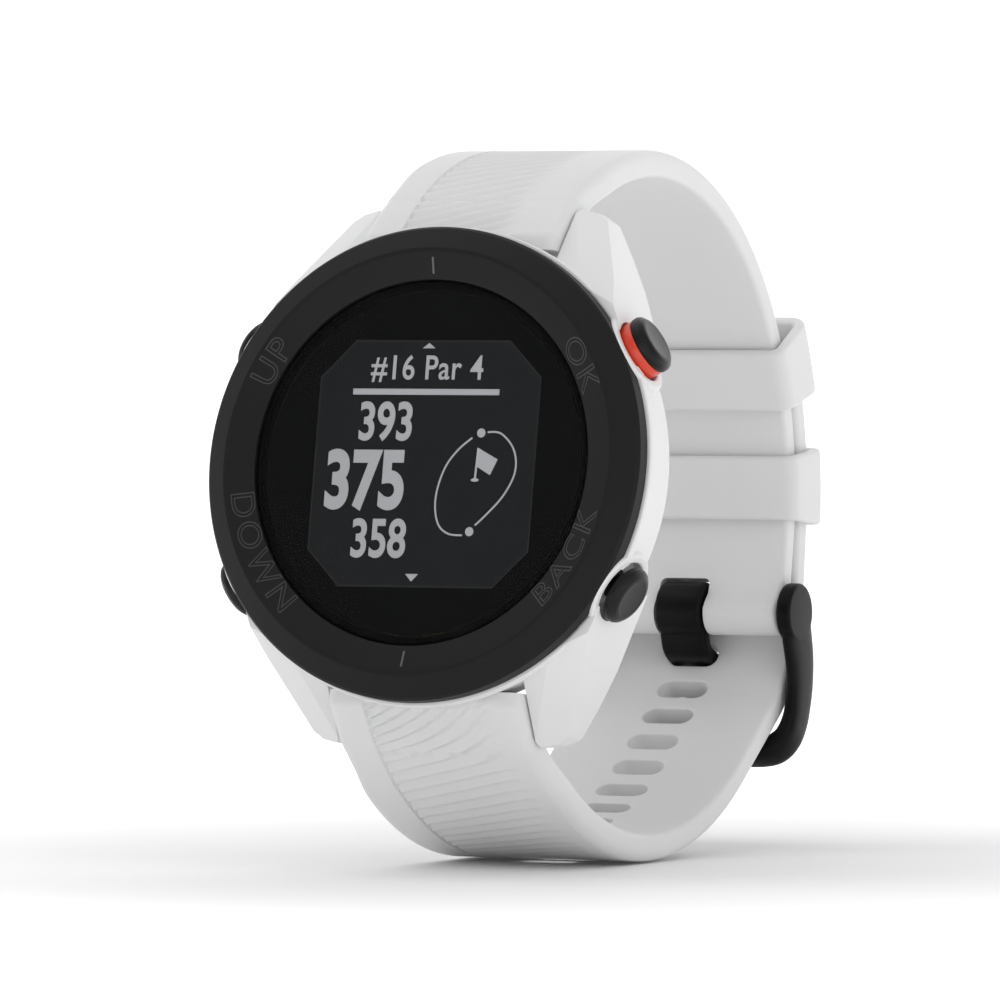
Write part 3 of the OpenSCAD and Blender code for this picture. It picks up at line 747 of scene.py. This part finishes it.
print("screen made")


# Buttons

buttonSize = {"radius": 2.75, "stem": 1.1, "stemEnd": 17.8, "face": 23.4, "okLift": 0.7}
collarSize = {"bore": 1.11, "radius": 2.7, "foot": 21.7, "top": 22.88, "edge": 0.08}


def buttonPiece(which, lift):
    r, face = buttonSize["radius"], buttonSize["face"] + lift
    back = face - 1.2
    cap = [(0, back), (r - 0.12, back), (r, back + 0.14), (r, face - 0.62), (r - 0.1, face - 0.5),
           (r - 0.1, face - 0.42), (r - 0.16, face - 0.36), (r - 0.55, face - 0.06),
           (r - 0.85, face), (r - 1.1, face - 0.03), (r - 1.9, face - 0.07), (0, face - 0.09)]
    stem = fillet(rectangle(0, buttonSize["stem"], buttonSize["stemEnd"], back + 0.1),
                  [0, 0.15, 0, 0], 4)
    shells = Shells()
    rounding = [0, 0.1, 0.1, 0.06, 0.04, 0.04, 0.05, 0.3, 0.2, 0.3, 0.5, 0]
    place = onButton(caseSize["buttonAngles"][which])
    shells.add(turned(fillet(cap, rounding, 5), 128), place)
    shells.add(turned(stem, 64), place)
    piece = shells.build(which + "ButtonCap", buttonBlack)
    finishPiece(piece, inHead, which + "_button", ["button_" + which], 50)


for which in caseSize["buttonAngles"]:
    buttonPiece(which, buttonSize["okLift"] if which == "ok" else 0)
collar = Shells()
collarOutline = fillet(rectangle(*[collarSize[k] for k in ("bore", "radius", "foot", "top")]),
                       collarSize["edge"], 4)
collar.add(turned(collarOutline, 128), onButton(caseSize["buttonAngles"]["ok"]))
finishPiece(collar.build("okCollarRing", collarRed), inHead, "ok_button", ["ok_collar"])
print("buttons made")


# Back cover and its screws

coverSize = {
    "outline": [(0, -9.8), (14.5, -9.8), (18.2, -9.3), (18.8, -9.0), (18.8, -8.6), (0, -8.6)],
    "rounding": [0, 1.5, 0.4, 0.2, 0.05, 0], "below": -10.8, "screwCircle": 16.6,
    "well": 1.15, "wellDepth": 1.65, "groove": (13.55, 13.75, -10.5, -9.72),
    "dock": (-4.6, 4.6, -10.1, -6.9), "dockRound": 1.55, "dockFloor": -9.4,
}
cover = Shells()
cover.add(turned(fillet(coverSize["outline"], coverSize["rounding"], 6), 256))
coverPiece = cover.build("backCover", coverDark)
well = turned(rectangle(0, coverSize["well"], 0, coverSize["wellDepth"]), 48)
for k in range(4):
    a = math.radians(45 + 90 * k)
    cutWith(coverPiece, well,
            Matrix.Translation((coverSize["screwCircle"] * math.cos(a),
                                coverSize["screwCircle"] * math.sin(a), coverSize["below"])))
dock = fillet(rectangle(*coverSize["dock"]), coverSize["dockRound"], 8)
cutWith(coverPiece, flatShape(dock, coverSize["below"], coverSize["dockFloor"]))
cutWith(coverPiece, turned(rectangle(*coverSize["groove"]), 192))
finishPiece(coverPiece, inHead, "watch", ["back_cover"], 30)

screwSize = {"head": 1.05, "low": -9.55, "high": -9.17, "shank": 0.45, "socket": 0.42}
screw = Shells()
star = []
for k in range(48):
    a = 2 * math.pi * k / 48
    r = screwSize["socket"] * (1 + 0.16 * math.cos(6 * a))
    star.append((r * math.cos(a), r * math.sin(a)))


def roundRing(r, z):
    return [(r * math.cos(2 * math.pi * k / 48), r * math.sin(2 * math.pi * k / 48), z)
            for k in range(48)]


lowZ, highZ, head, shank = [screwSize[k] for k in ("low", "high", "head", "shank")]
screw.add(lofted([[(x * 0.9, y * 0.9, lowZ + 0.22) for x, y in star],
                  [(x, y, lowZ + 0.2) for x, y in star], [(x, y, lowZ + 0.02) for x, y in star],
                  [(x * 1.05, y * 1.05, lowZ) for x, y in star],
                  roundRing(0.85, lowZ), roundRing(0.97, lowZ + 0.04), roundRing(head, lowZ + 0.14),
                  roundRing(head, highZ), roundRing(shank, highZ), roundRing(shank, -6.5)]))
screwPiece = roundArray(screw.build("backScrews", steelSatin), 4, coverSize["screwCircle"], 45,
                        steelSatin)
finishPiece(screwPiece, inHead, "watch", ["back_screws"], 30)
print("back made")


# Strap halves: rows across the strap follow its path, and the slots are part of the mesh

strapSize = {
    "halfWidth": 10.25, "endHalfWidth": 9.85, "thickness": 2.6, "innerEdge": 0.5,
    "outerEdge": 1.05, "zone": 3.6, "zoneColumns": 25, "centre": (-5.7, 1.5), "wrap": 29.7,
    "tailWrap": 32.5, "lugOverlap": 1.6, "flareFrom": 3.6, "flareRun": 5, "slotCell": 1.9,
    "bar": (24.9, -5.0), "barWrap": 2.25, "notch": (-2.6, 2.6, -12, -1.9),
    "sideColumns": [3.95, 4.3, 4.65, 5.0, 5.35, 5.7, 5.88, 5.94, 6.0, 6.06, 6.12, 6.3, 6.7, 7.1,
                    7.5, 7.9, 8.4, 8.9],
    "slotHalf": 1.45, "slotRound": 1.15, "slotFirst": 10.5, "slotPitch": 4.1, "slotCount": 15,
    "buckleHalf": [(29.7, 134.7), (0, 3.2)],
    "tailHalf": [(32.5, 32), (0, 9), (10.6, 49.2), (0, 9.85), (32.8, 83.9)],
    "buckleStart": 134.7, "tailStart": 36,
    "headInner": [(9.05, 23.9), (9.62, 23.2), (9.8, 22.4), (9.6, 21.4), (9.0, 20.7), (8.1, 20.3),
                  (6.6, 20.3)],
    "headOuter": [(7.0, 25.6), (6.2, 24.95), (5.45, 24.2), (4.7, 23.35), (3.9, 22.45), (3.3, 21.7),
                  (3.25, 20.4)],
}


# The window for the release knob, cut along the spring bar on the wrist side
knobSize = {"bar": (-26.4, 22.4), "slope": 45, "halfWidth": 0.9, "reach": 4.2, "across": (4.05, 7.9)}


# The point at one distance along a path of straights and bends, and the way out from the wrist
def pathPoint(start, heading, legs, s):
    p = Vector(start)
    for k, (r, amount) in enumerate(legs):
        length = amount if r == 0 else r * math.radians(amount)
        go = s if (s <= length or k == len(legs) - 1) else length
        if r == 0:
            p = p + Vector((math.cos(math.radians(heading)), math.sin(math.radians(heading)))) * go
        else:
            h = math.radians(heading)
            turn = go / r
            centre = p + r * Vector((math.sin(h), -math.cos(h)))
            a = h + math.pi / 2 - turn
            p = centre + r * Vector((math.cos(a), math.sin(a)))
            heading -= math.degrees(turn)
        s -= go
        if s <= 0:
            break
    h = math.radians(heading)
    return p, Vector((-math.sin(h), math.cos(h)))


def pathLength(legs):
    return sum(amount if r == 0 else r * math.radians(amount) for r, amount in legs)


def ringOf(half, thick, innerEdge, outerEdge):
    zone, full = strapSize["zone"], strapSize["halfWidth"]
    zoneCount = strapSize["zoneColumns"]
    columns = [zone * (2 * i / (zoneCount - 1) - 1) for i in range(zoneCount)]

    def sideAt(edge):
        scale = (half - edge - zone) / (full - edge - zone)
        return [zone + (min(v, full - edge) - zone) * scale for v in strapSize["sideColumns"]]

    below, above = sideAt(innerEdge), sideAt(outerEdge)
    right = [(v, 0) for v in below]
    for k in range(5):
        a = math.radians(-90 + 22.5 * k)
        right.append((half - innerEdge + innerEdge * math.cos(a), innerEdge + innerEdge * math.sin(a)))
    for k in range(8):
        a = math.radians(90 * k / 7)
        right.append((half - outerEdge + outerEdge * math.cos(a),
                      thick - outerEdge + outerEdge * math.sin(a)))
    right += [(v, thick) for v in reversed(above)]
    ring = [(v, 0) for v in columns] + right + [(v, thick) for v in reversed(columns)]
    ring += [(-v, t) for v, t in reversed(right)]
    topStart = zoneCount + len(right)
    return ring, topStart


def stadium(v, s, r):
    half = strapSize["slotHalf"]
    size = math.hypot(v, s) or 1
    v, s = v / size, s / size
    if abs(s) > 1e-6 and abs(v) * r / abs(s) <= half:
        k = r / abs(s)
    else:
        k = half * abs(v) + math.sqrt(max(0, (half * abs(v)) ** 2 - half ** 2 + r ** 2))
    return v * k, s * k


# rows: (s, inner point, outer point, half width); surface(s, v, t) gives a point for the slots
def strapShape(rows, slots, surface):
    verts, faces, along, across, outer = [], [], [], [], []
    zoneCount = strapSize["zoneColumns"]

    def put(point, s, v, top):
        verts.append(point)
        along.append(s)
        across.append(v)
        outer.append(top)
        return len(verts) - 1

    grid = []
    inSlot = [any(a + 1e-4 < row[0] < b - 1e-4 for a, b in slots) for row in rows]
    spans = [any(a - 1e-4 <= rows[i][0] and rows[i + 1][0] <= b + 1e-4 for a, b in slots)
             for i in range(len(rows) - 1)]
    for i, (s, inner, outerPoint, half) in enumerate(rows):
        reach = Vector(outerPoint) - Vector(inner)
        thick = reach.length
        up = reach.normalized()
        ring, topStart = ringOf(half, thick, min(strapSize["innerEdge"], thick * 0.3),
                                min(strapSize["outerEdge"], thick * 0.45))
        line = []
        for m, (v, t) in enumerate(ring):
            hidden = inSlot[i] and (0 < m < zoneCount - 1 or
                                    topStart < m < topStart + zoneCount - 1)
            p = Vector(inner) + up * t
            top = 1.0 if t > thick * 0.6 else 0.0
            line.append(None if hidden else put((p.x, p.y, v), s, v, top))
        grid.append(line)
    count = len(ring)
    for i in range(len(rows) - 1):
        for m in range(count):
            n = (m + 1) % count
            if spans[i] and (m < zoneCount - 1 or topStart <= m < topStart + zoneCount - 1):
                continue
            faces.append((grid[i][m], grid[i][n], grid[i + 1][n], grid[i + 1][m]))
    faces.append(tuple(grid[0]))
    faces.append(tuple(reversed(grid[-1])))
    thick = strapSize["thickness"]
    for a, b in slots:
        inside = [i for i in range(len(rows)) if a - 1e-4 <= rows[i][0] <= b + 1e-4]
        first, last, between = inside[0], inside[-1], inside[1:-1]
        middle = (a + b) / 2
        loops = {}
        for name, zoneAt, backwards in (("low", 0, False), ("top", topStart, True)):
            def at(i, k):
                return grid[i][zoneAt + (zoneCount - 1 - k if backwards else k)]
            loop = [(at(first, k), rows[first][0]) for k in range(zoneCount)]
            loop += [(at(i, zoneCount - 1), rows[i][0]) for i in between]
            loop += [(at(last, k), rows[last][0]) for k in reversed(range(zoneCount))]
            loop += [(at(i, 0), rows[i][0]) for i in reversed(between)]
            loops[name] = loop
        base = [(verts[i][2], s - middle) for i, s in loops["low"]]
        cell = (b - a) / 2
        steps = []
        r = strapSize["slotRound"]
        for extra, depth in ((0.32, 0), (0.13, 0), (0.06, 0.018), (0.018, 0.06), (0, 0.14)):
            steps.append((r + extra, depth))
        chain = [[i for i, s in loops["low"]]]
        sequence = [(rr, d) for rr, d in steps] + [(r, thick / 2)] + [
            (rr, thick - d) for rr, d in reversed(steps)]
        for rr, t in sequence:
            ringIds = []
            for v, ds in base:
                vv, ss = stadium(v / strapSize["zone"] * (strapSize["slotHalf"] + r),
                                 ds / cell * r, rr)
                ringIds.append(put(surface(middle + ss, vv, t), middle + ss, vv, 0.0))
            chain.append(ringIds)
        chain.append([i for i, s in loops["top"]])
        for lower, upper in zip(chain, chain[1:]):
            for k in range(len(lower)):
                n = (k + 1) % len(lower)
                faces.append((lower[k], lower[n], upper[n], upper[k]))
    return verts, faces, {"along": along, "across": across, "outerFace": outer}


# Carved ribs and one long groove, on the outer face only
def strapRibTree():
    number = "NodeSocketFloat"
    tree, g, given = newGeometryTree("strapRibs", {
        "Pitch": number, "Depth": number, "Slant": number, "Start": number, "End": number,
        "Left": number, "Right": number, "Groove": number, "Bend": number,
        "Material": "NodeSocketMaterial"})
    along, across, outer = [g.add("GeometryNodeInputNamedAttribute", {"data_type": "FLOAT"},
                                  {"Name": name}) for name in ("along", "across", "outerFace")]
    bend = (3 - along).maths("MAXIMUM", 0.0) * given["Bend"]
    phase = ((along + across * (given["Slant"] + bend)) / given["Pitch"]).maths("FRACT")
    tooth = (phase / 0.78).maths("MINIMUM", (1 - phase) / 0.22)
    fade = across.smoothly(given["Left"], given["Left"] + 0.1)
    fade = fade * (1 - across.smoothly(given["Right"] - 3, given["Right"]))
    fade = fade * along.smoothly(given["Start"], given["Start"] + 0.8)
    fade = fade * (1 - along.smoothly(given["End"] - 3, given["End"]))
    groove = 1 - ((across - given["Left"]).maths("ABSOLUTE")).smoothly(0.03, 0.09)
    groove = groove * (1 - along.smoothly(given["End"] + 4, given["End"] + 8))
    drop = (1 - tooth.smoothly(0, 1)) * fade * given["Depth"] + groove * given["Groove"]
    push = g.add("ShaderNodeVectorMath", {"operation": "SCALE"},
                 {0: g.add("GeometryNodeInputNormal"), "Scale": drop * outer * -1})
    moved = g.add("GeometryNodeSetPosition", {}, {"Geometry": given["Geometry"], "Offset": push})
    endGeometryTree(g, moved, given["Material"])
    return tree


def carveRibs(piece, values):
    modifier = piece.modifiers.new("strapRibs", "NODES")
    modifier.node_group = bpy.data.node_groups.get("strapRibs") or strapRibTree()
    for name, value in values.items():
        setInput(modifier, name, value)
    setInput(modifier, "Material", strapWhite)
    return bakeModifiers(piece)


# Rows from the band into the lugs, with the distance run along the outer face
def headRows(sign):
    rows, run = [], 0
    inner, outer = [smoothLine(strapSize[key]) for key in ("headInner", "headOuter")]
    for k, (a, b) in enumerate(zip(inner, outer)):
        run += (Vector(b) - Vector(outer[max(k - 1, 0)])).length
        rows.append((run, (a[0] - stance["setback"], sign * a[1]),
                     (b[0] - stance["setback"], sign * b[1]), strapSize["endHalfWidth"]))
    return rows


# Narrower beside the lugs, then out to the full width
def widthAt(gap):
    t = min(max((gap - strapSize["flareFrom"]) / strapSize["flareRun"], 0), 1)
    t = t * t * (3 - 2 * t)
    return strapSize["endHalfWidth"] + (strapSize["halfWidth"] - strapSize["endHalfWidth"]) * t


def spaced(low, high, step):
    count = max(1, math.ceil((high - low) / step - 1e-6))
    return [low + (high - low) * k / count for k in range(count + 1)]


def polar(centre, r, degrees):
    a = math.radians(degrees)
    return (centre[0] + r * math.cos(a), centre[1] + r * math.sin(a))


def bandSurface(start, heading, legs):
    def surface(s, v, t):
        p, up = pathPoint(start, heading, legs, s)
        q = p + up * t
        return (q.x, q.y, v)

    return surface


def buckleHalfPiece():
    start = polar(strapSize["centre"], strapSize["wrap"], strapSize["buckleStart"])
    heading = strapSize["buckleStart"] - 90
    legs = strapSize["buckleHalf"]
    total = pathLength(legs)
    thick = strapSize["thickness"]
    rows = [(strapSize["lugOverlap"] - run, a, b, w) for run, a, b, w in reversed(headRows(1))]
    for s in spaced(2.2, 22, 0.14) + spaced(22.6, total, 0.6):
        p, up = pathPoint(start, heading, legs, s)
        rows.append((s, tuple(p), tuple(p + up * thick), widthAt(s)))
    bar, r = strapSize["bar"], strapSize["barWrap"]
    for k, dq in enumerate((1.55, 1.1, 0.6, 0, -0.6, -1.2, -1.65, -1.95, -2.12, -2.21)):
        reach = math.sqrt(r * r - dq * dq)
        blend = min(1, 0.55 + 0.15 * k)
        left = bar[0] - reach * blend - (1 - blend) * 0.9
        right = bar[0] + reach * blend + (1 - blend) * 1.7
        rows.append((total + 0.5 * (k + 1), (left, bar[1] + dq), (right, bar[1] + dq),
                     strapSize["halfWidth"]))

    verts, faces, marks = strapShape(rows, [], bandSurface(start, heading, legs))
    shells = Shells()
    shells.add((verts, faces))
    piece = shells.build("strapBuckleHalf", strapWhite, marks)
    carveRibs(piece, {"Pitch": 1.42, "Depth": 0.46, "Slant": -0.42, "Start": -4.2, "End": 19.5,
                      "Left": -6.0, "Right": 6.0, "Groove": 0.2, "Bend": 0.0})
    notch = fillet(rectangle(*strapSize["notch"]), [0, 0, 0.6, 0.6], 6)
    cutWith(piece, lofted([[(p, q, x) for x, q in notch] for p in (15, 35)]))
    cutWith(piece, knobWindow(1))
    finishPiece(piece, inSide, "watch", ["strap_buckle_half"], 40)


def knobWindow(sign):
    slope = math.radians(knobSize["slope"])
    bar = Vector((knobSize["bar"][0], knobSize["bar"][1] * sign))
    go = Vector((math.cos(slope), -sign * math.sin(slope)))
    side = Vector((-go.y, go.x)) * knobSize["halfWidth"]
    far = bar + go * knobSize["reach"]
    square = [bar - side, far - side, far + side, bar + side]
    return lofted([[(p.x, p.y, x) for p in square] for x in knobSize["across"]])


def tailHalfPiece():
    start = polar(strapSize["centre"], strapSize["tailWrap"], strapSize["tailStart"])
    heading = strapSize["tailStart"] - 90
    legs = strapSize["tailHalf"]
    total = pathLength(legs)
    thick = strapSize["thickness"]
    cell = strapSize["slotCell"]
    middles = [strapSize["slotFirst"] + k * strapSize["slotPitch"]
               for k in range(strapSize["slotCount"])]
    slots = [(middle - cell, middle + cell) for middle in middles]
    stations = [0, 0.06, 0.16, 0.3, 0.5, 0.75, 1.1, 1.5, 2, 2.6, 3.2, 3.9]
    at = 3.9
    for a, b in slots:
        stations += spaced(at, a, 0.5)[1:] + spaced(a, b, 0.45)[1:]
        at = b
    ribStart = total - 23.5
    stations += spaced(at, ribStart, 0.6)[1:] + spaced(ribStart, total - 2.2, 0.14)[1:]
    rows = []
    tip, lip = 4.0, 0.75
    for s in stations:
        p, up = pathPoint(start, heading, legs, s)
        half = widthAt(total - s)
        lift = 0.0
        if s < tip:
            half -= tip - math.sqrt(tip * tip - (tip - s) ** 2)
        if s < lip:
            lift = lip - math.sqrt(lip ** 2 - (lip - s) ** 2)
        rows.append((s, tuple(p + up * lift * 0.8), tuple(p + up * (thick - lift)), half))
    rows += [(total - strapSize["lugOverlap"] + run, a, b, w) for run, a, b, w in headRows(-1)]

    verts, faces, marks = strapShape(rows, slots, bandSurface(start, heading, legs))
    marks["along"] = [total - s for s in marks["along"]]
    shells = Shells()
    shells.add((verts, faces))
    piece = shells.build("strapTailHalf", strapWhite, marks)
    carveRibs(piece, {"Pitch": 1.42, "Depth": 0.38, "Slant": 0.3, "Start": -4.4, "End": 21.5,
                      "Left": -6.0, "Right": 8.2, "Groove": 0.2, "Bend": 0.07})
    cutWith(piece, knobWindow(-1))
    finishPiece(piece, inSide, "watch", ["strap_tail_half"], 40)


buckleHalfPiece()
tailHalfPiece()
print("strap made")


# Keepers

keeperSize = {"wall": 1.1, "span": 12, "inside": 29.55, "outside": 35.25, "middle": 32.4,
              "halfWidth": 10.4, "corner": 1.5, "tightCorner": 0.9, "edge": 0.4,
              "places": {"upper": 31.5, "lower": 10.5}}


def subdivided(points, longest):
    out = []
    for i in range(len(points)):
        a, b = Vector(points[i]), Vector(points[(i + 1) % len(points)])
        steps = max(1, round((b - a).length / longest))
        out += [tuple(a + (b - a) * k / steps) for k in range(steps)]
    return out


# A rounded section carried round the strap, then bent along it
def keeperPiece(which):
    wall, hw = keeperSize["wall"], keeperSize["halfWidth"]
    mid = wall / 2
    inside, outside = keeperSize["inside"] - mid, keeperSize["outside"] + mid
    tight, corner = keeperSize["tightCorner"], keeperSize["corner"]
    track = fillet(rectangle(inside, outside, -hw - mid, hw + mid),
                   [tight, corner, corner, tight], 8)
    fine = subdivided(track, 0.7)
    along = math.radians(keeperSize["span"]) * keeperSize["middle"] / 2
    section = fillet(rectangle(-mid, mid, -along, along), keeperSize["edge"], 5)
    denser = subdivided(section, 0.5)
    rings = []
    count = len(fine)
    for i, (r, x) in enumerate(fine):
        a, b = Vector(fine[i - 1]), Vector(fine[(i + 1) % count])
        ahead = (b - a).normalized()
        out = Vector((ahead.y, -ahead.x))
        ring = []
        for n, w in denser:
            radius, xx = r + out.x * n, x + out.y * n
            angle = keeperSize["places"][which] + math.degrees(w / keeperSize["middle"])
            p = polar(strapSize["centre"], radius, angle)
            ring.append((p[0], p[1], xx))
        rings.append(ring)
    shells = Shells()
    shells.add(lofted(rings, True))
    piece = shells.build(which + "KeeperLoop", strapWhite)
    finishPiece(piece, inSide, which + "_keeper", ["keeper_" + which], 50)


for which in keeperSize["places"]:
    keeperPiece(which)
print("keepers made")


# Buckle

buckleSize = {
    "arm": 11.25, "armThick": 0.75, "crossbar": (25.6, -18.3), "crossThick": 1.5, "hub": 2.85,
    # point (p, q, x), half size across the arm, half size in depth
    "path": [((24.9, -5.0, 11.25), 0.75, 2.6), ((25.9, -7.0, 11.25), 0.75, 2.7),
             ((26.9, -9.2, 11.25), 0.75, 2.55), ((27.35, -11.4, 11.25), 0.75, 2.35),
             ((27.3, -13.4, 11.25), 0.78, 2.15), ((26.9, -15.3, 11.22), 0.85, 1.95),
             ((26.2, -17.0, 10.9), 1.0, 1.75), ((25.7, -18.05, 10.0), 1.25, 1.6),
             ((25.6, -18.3, 8.6), 1.45, 1.5), ((25.6, -18.3, 6.0), 1.5, 1.5)],
}


# A ring between an oval and a rectangle, about one point of the frame
def superRing(centre, across, deep, a, b, count=40, power=2.7):
    ring = []
    for k in range(count):
        t = 2 * math.pi * k / count
        c, s = math.cos(t), math.sin(t)
        x = math.copysign(abs(c) ** (2 / power), c) * a
        y = math.copysign(abs(s) ** (2 / power), s) * b
        ring.append(tuple(centre + across * x + deep * y))
    return ring


def buckleFramePiece():
    near = buckleSize["path"]
    far = [((p[0], p[1], -p[2]), a, b) for p, a, b in reversed(near)]
    cross = buckleSize["crossThick"]
    control = near + [((*buckleSize["crossbar"], 0), cross, cross)] + far
    steps = 6
    fine = [Vector(p) for p in smoothLine([p for p, a, b in control], steps)]
    sizes = [(a, b) for p, a, b in control]
    widths = []
    for s, u in zip(sizes, sizes[1:]):
        for t in [k / steps for k in range(steps)]:
            widths.append((s[0] + (u[0] - s[0]) * t, s[1] + (u[1] - s[1]) * t))
    widths.append(sizes[-1])
    rings = []
    deep = Vector((1, 0.18, 0)).normalized()
    for i, p in enumerate(fine):
        ahead = (fine[min(i + 1, len(fine) - 1)] - fine[max(i - 1, 0)]).normalized()
        deep = (deep - ahead * deep.dot(ahead)).normalized()
        across = ahead.cross(deep)
        rings.append(superRing(p, across, deep, widths[i][0], widths[i][1]))
    shells = Shells()
    shells.add(lofted(rings))
    slim = buckleSize["armThick"]
    hub = fillet(rectangle(0, buckleSize["hub"], -slim, slim), [0, 0.35, 0.35, 0], 6)
    for side in (1, -1):
        shells.add(turned(hub, 96),
                   Matrix.Translation((*strapSize["bar"], buckleSize["arm"] * side)))
    piece = shells.build("buckleFrameBar", buckleBlack)
    finishPiece(piece, inSide, "buckle_frame", ["buckle_frame"], 60)


tongueSize = {"half": 2.38, "thick": 0.75, "edge": 0.42, "slot": 5, "sink": 0.12, "eye": 2.35,
              "eyeAt": (24.5, -4.85), "eyeStretch": 1.12, "tipOut": 2.75, "tipSlope": -40}


# The middle of the slot that the tongue goes through, and the way out from the wrist
def tongueMiddle():
    start = polar(strapSize["centre"], strapSize["tailWrap"], strapSize["tailStart"])
    s = strapSize["slotFirst"] + tongueSize["slot"] * strapSize["slotPitch"]
    p, out = pathPoint(start, strapSize["tailStart"] - 90, strapSize["tailHalf"], s)
    down = Vector((out.y, -out.x))
    return p + down * tongueSize["sink"], out


def tonguePiece():
    middle, out = tongueMiddle()
    cross = Vector(buckleSize["crossbar"])
    slope = math.radians(tongueSize["tipSlope"])
    tip = cross + tongueSize["tipOut"] * Vector((math.cos(slope), math.sin(slope)))
    line = [Vector((24.3, -6.2)), Vector((24.7, -7.5)), middle - 1.3 * out, middle + 1.2 * out,
            middle + 3.6 * out, middle + 4.9 * out + Vector((0.1, -1.3))]
    line += [line[-1] + (tip - line[-1]) * k for k in (0.35, 0.7, 1)]
    path = [Vector(p) for p in smoothLine([tuple(p) for p in line], 5)]
    half, thick = tongueSize["half"], tongueSize["thick"]
    rings = []
    for i, p in enumerate(path):
        ahead = (path[min(i + 1, len(path) - 1)] - path[max(i - 1, 0)]).normalized()
        side = Vector((-ahead.y, ahead.x))
        t = i / (len(path) - 1)
        narrow = half * (1 - 0.16 * max(0, (t - 0.55) / 0.45))
        slim = thick * (1 - 0.25 * max(0, (t - 0.85) / 0.15))
        section = fillet(rectangle(-narrow, narrow, -slim, slim), tongueSize["edge"], 6)
        rings.append([(p.x + side.x * y, p.y + side.y * y, x) for x, y in section])
    shells = Shells()
    shells.add(lofted(rings))
    eye = fillet(rectangle(0, tongueSize["eye"], -half, half), [0, 0.45, 0.45, 0], 6)
    shells.add(turned(eye, 96), Matrix.Translation((*tongueSize["eyeAt"], 0))
               @ Matrix.Diagonal((1, tongueSize["eyeStretch"], 1, 1)))
    piece = shells.build("buckleTongueBar", buckleBlack)
    finishPiece(piece, inSide, "buckle_tongue", ["buckle_tongue"], 60)


buckleFramePiece()
tonguePiece()
print("buckle made")


# Floor that curves up behind; it glows more with distance from the watch, evenly white far off and a
# painted shadow round the watch

floorSize = {"level": cadBox[0][2] - 0.0002, "front": -2.5, "back": 1.6, "bend": 0.8, "half": 4.0,
             "top": 3.5}
stageMaterial, g = newMaterial("stageWhite", (0.95, 0.95, 0.95))
place = g.add("ShaderNodeTexCoord", output=3)
mottle = g.add("ShaderNodeTexNoise", {}, {"Vector": place, "Scale": 8, "Detail": 2})
base = g.add("ShaderNodeMix", {"data_type": "RGBA"},
             {0: mottle, 6: (0.93, 0.93, 0.93, 1), 7: (0.95, 0.95, 0.95, 1)}, 2)
reach = g.add("ShaderNodeVectorMath", {"operation": "LENGTH"}, {0: place}, 1)
# Painted shadow: no glow near the watch, rising to full glow 0.17 m away, so the floor reads white
# further out
paintedGlow = g.add("ShaderNodeMix", {"data_type": "RGBA"},
             {0: reach.smoothly(0.02, 0.17), 6: (0, 0, 0, 1), 7: (0.6, 0.6, 0.6, 1)}, 2)
shader = g.add("ShaderNodeBsdfPrincipled", {}, {
    "Base Color": base, "Roughness": mottle * 0.05 + 0.75, "Specular IOR Level": 0.1,
    "Emission Color": paintedGlow, "Emission Strength": 1.0})
g.add("ShaderNodeOutputMaterial", {}, [shader])
profile = [(floorSize["front"], floorSize["level"]), (floorSize["back"], floorSize["level"])]
for k in range(1, 25):
    a = math.radians(90 * k / 24)
    profile.append((floorSize["back"] + floorSize["bend"] * math.sin(a),
                    floorSize["level"] + floorSize["bend"] * (1 - math.cos(a))))
profile.append((floorSize["back"] + floorSize["bend"], floorSize["top"]))
verts = [(x, y, z) for y, z in profile for x in (-floorSize["half"], floorSize["half"])]
faces = [(2 * i, 2 * i + 1, 2 * i + 3, 2 * i + 2) for i in range(len(profile) - 1)]
floorMesh = bpy.data.meshes.new("studioFloor")
floorMesh.from_pydata(verts, [], faces)
floorMesh.materials.append(stageMaterial)
floorMesh.shade_smooth()
floor = bpy.data.objects.new("studioFloor", floorMesh)
bpy.context.scene.collection.objects.link(floor)
print("stage made")
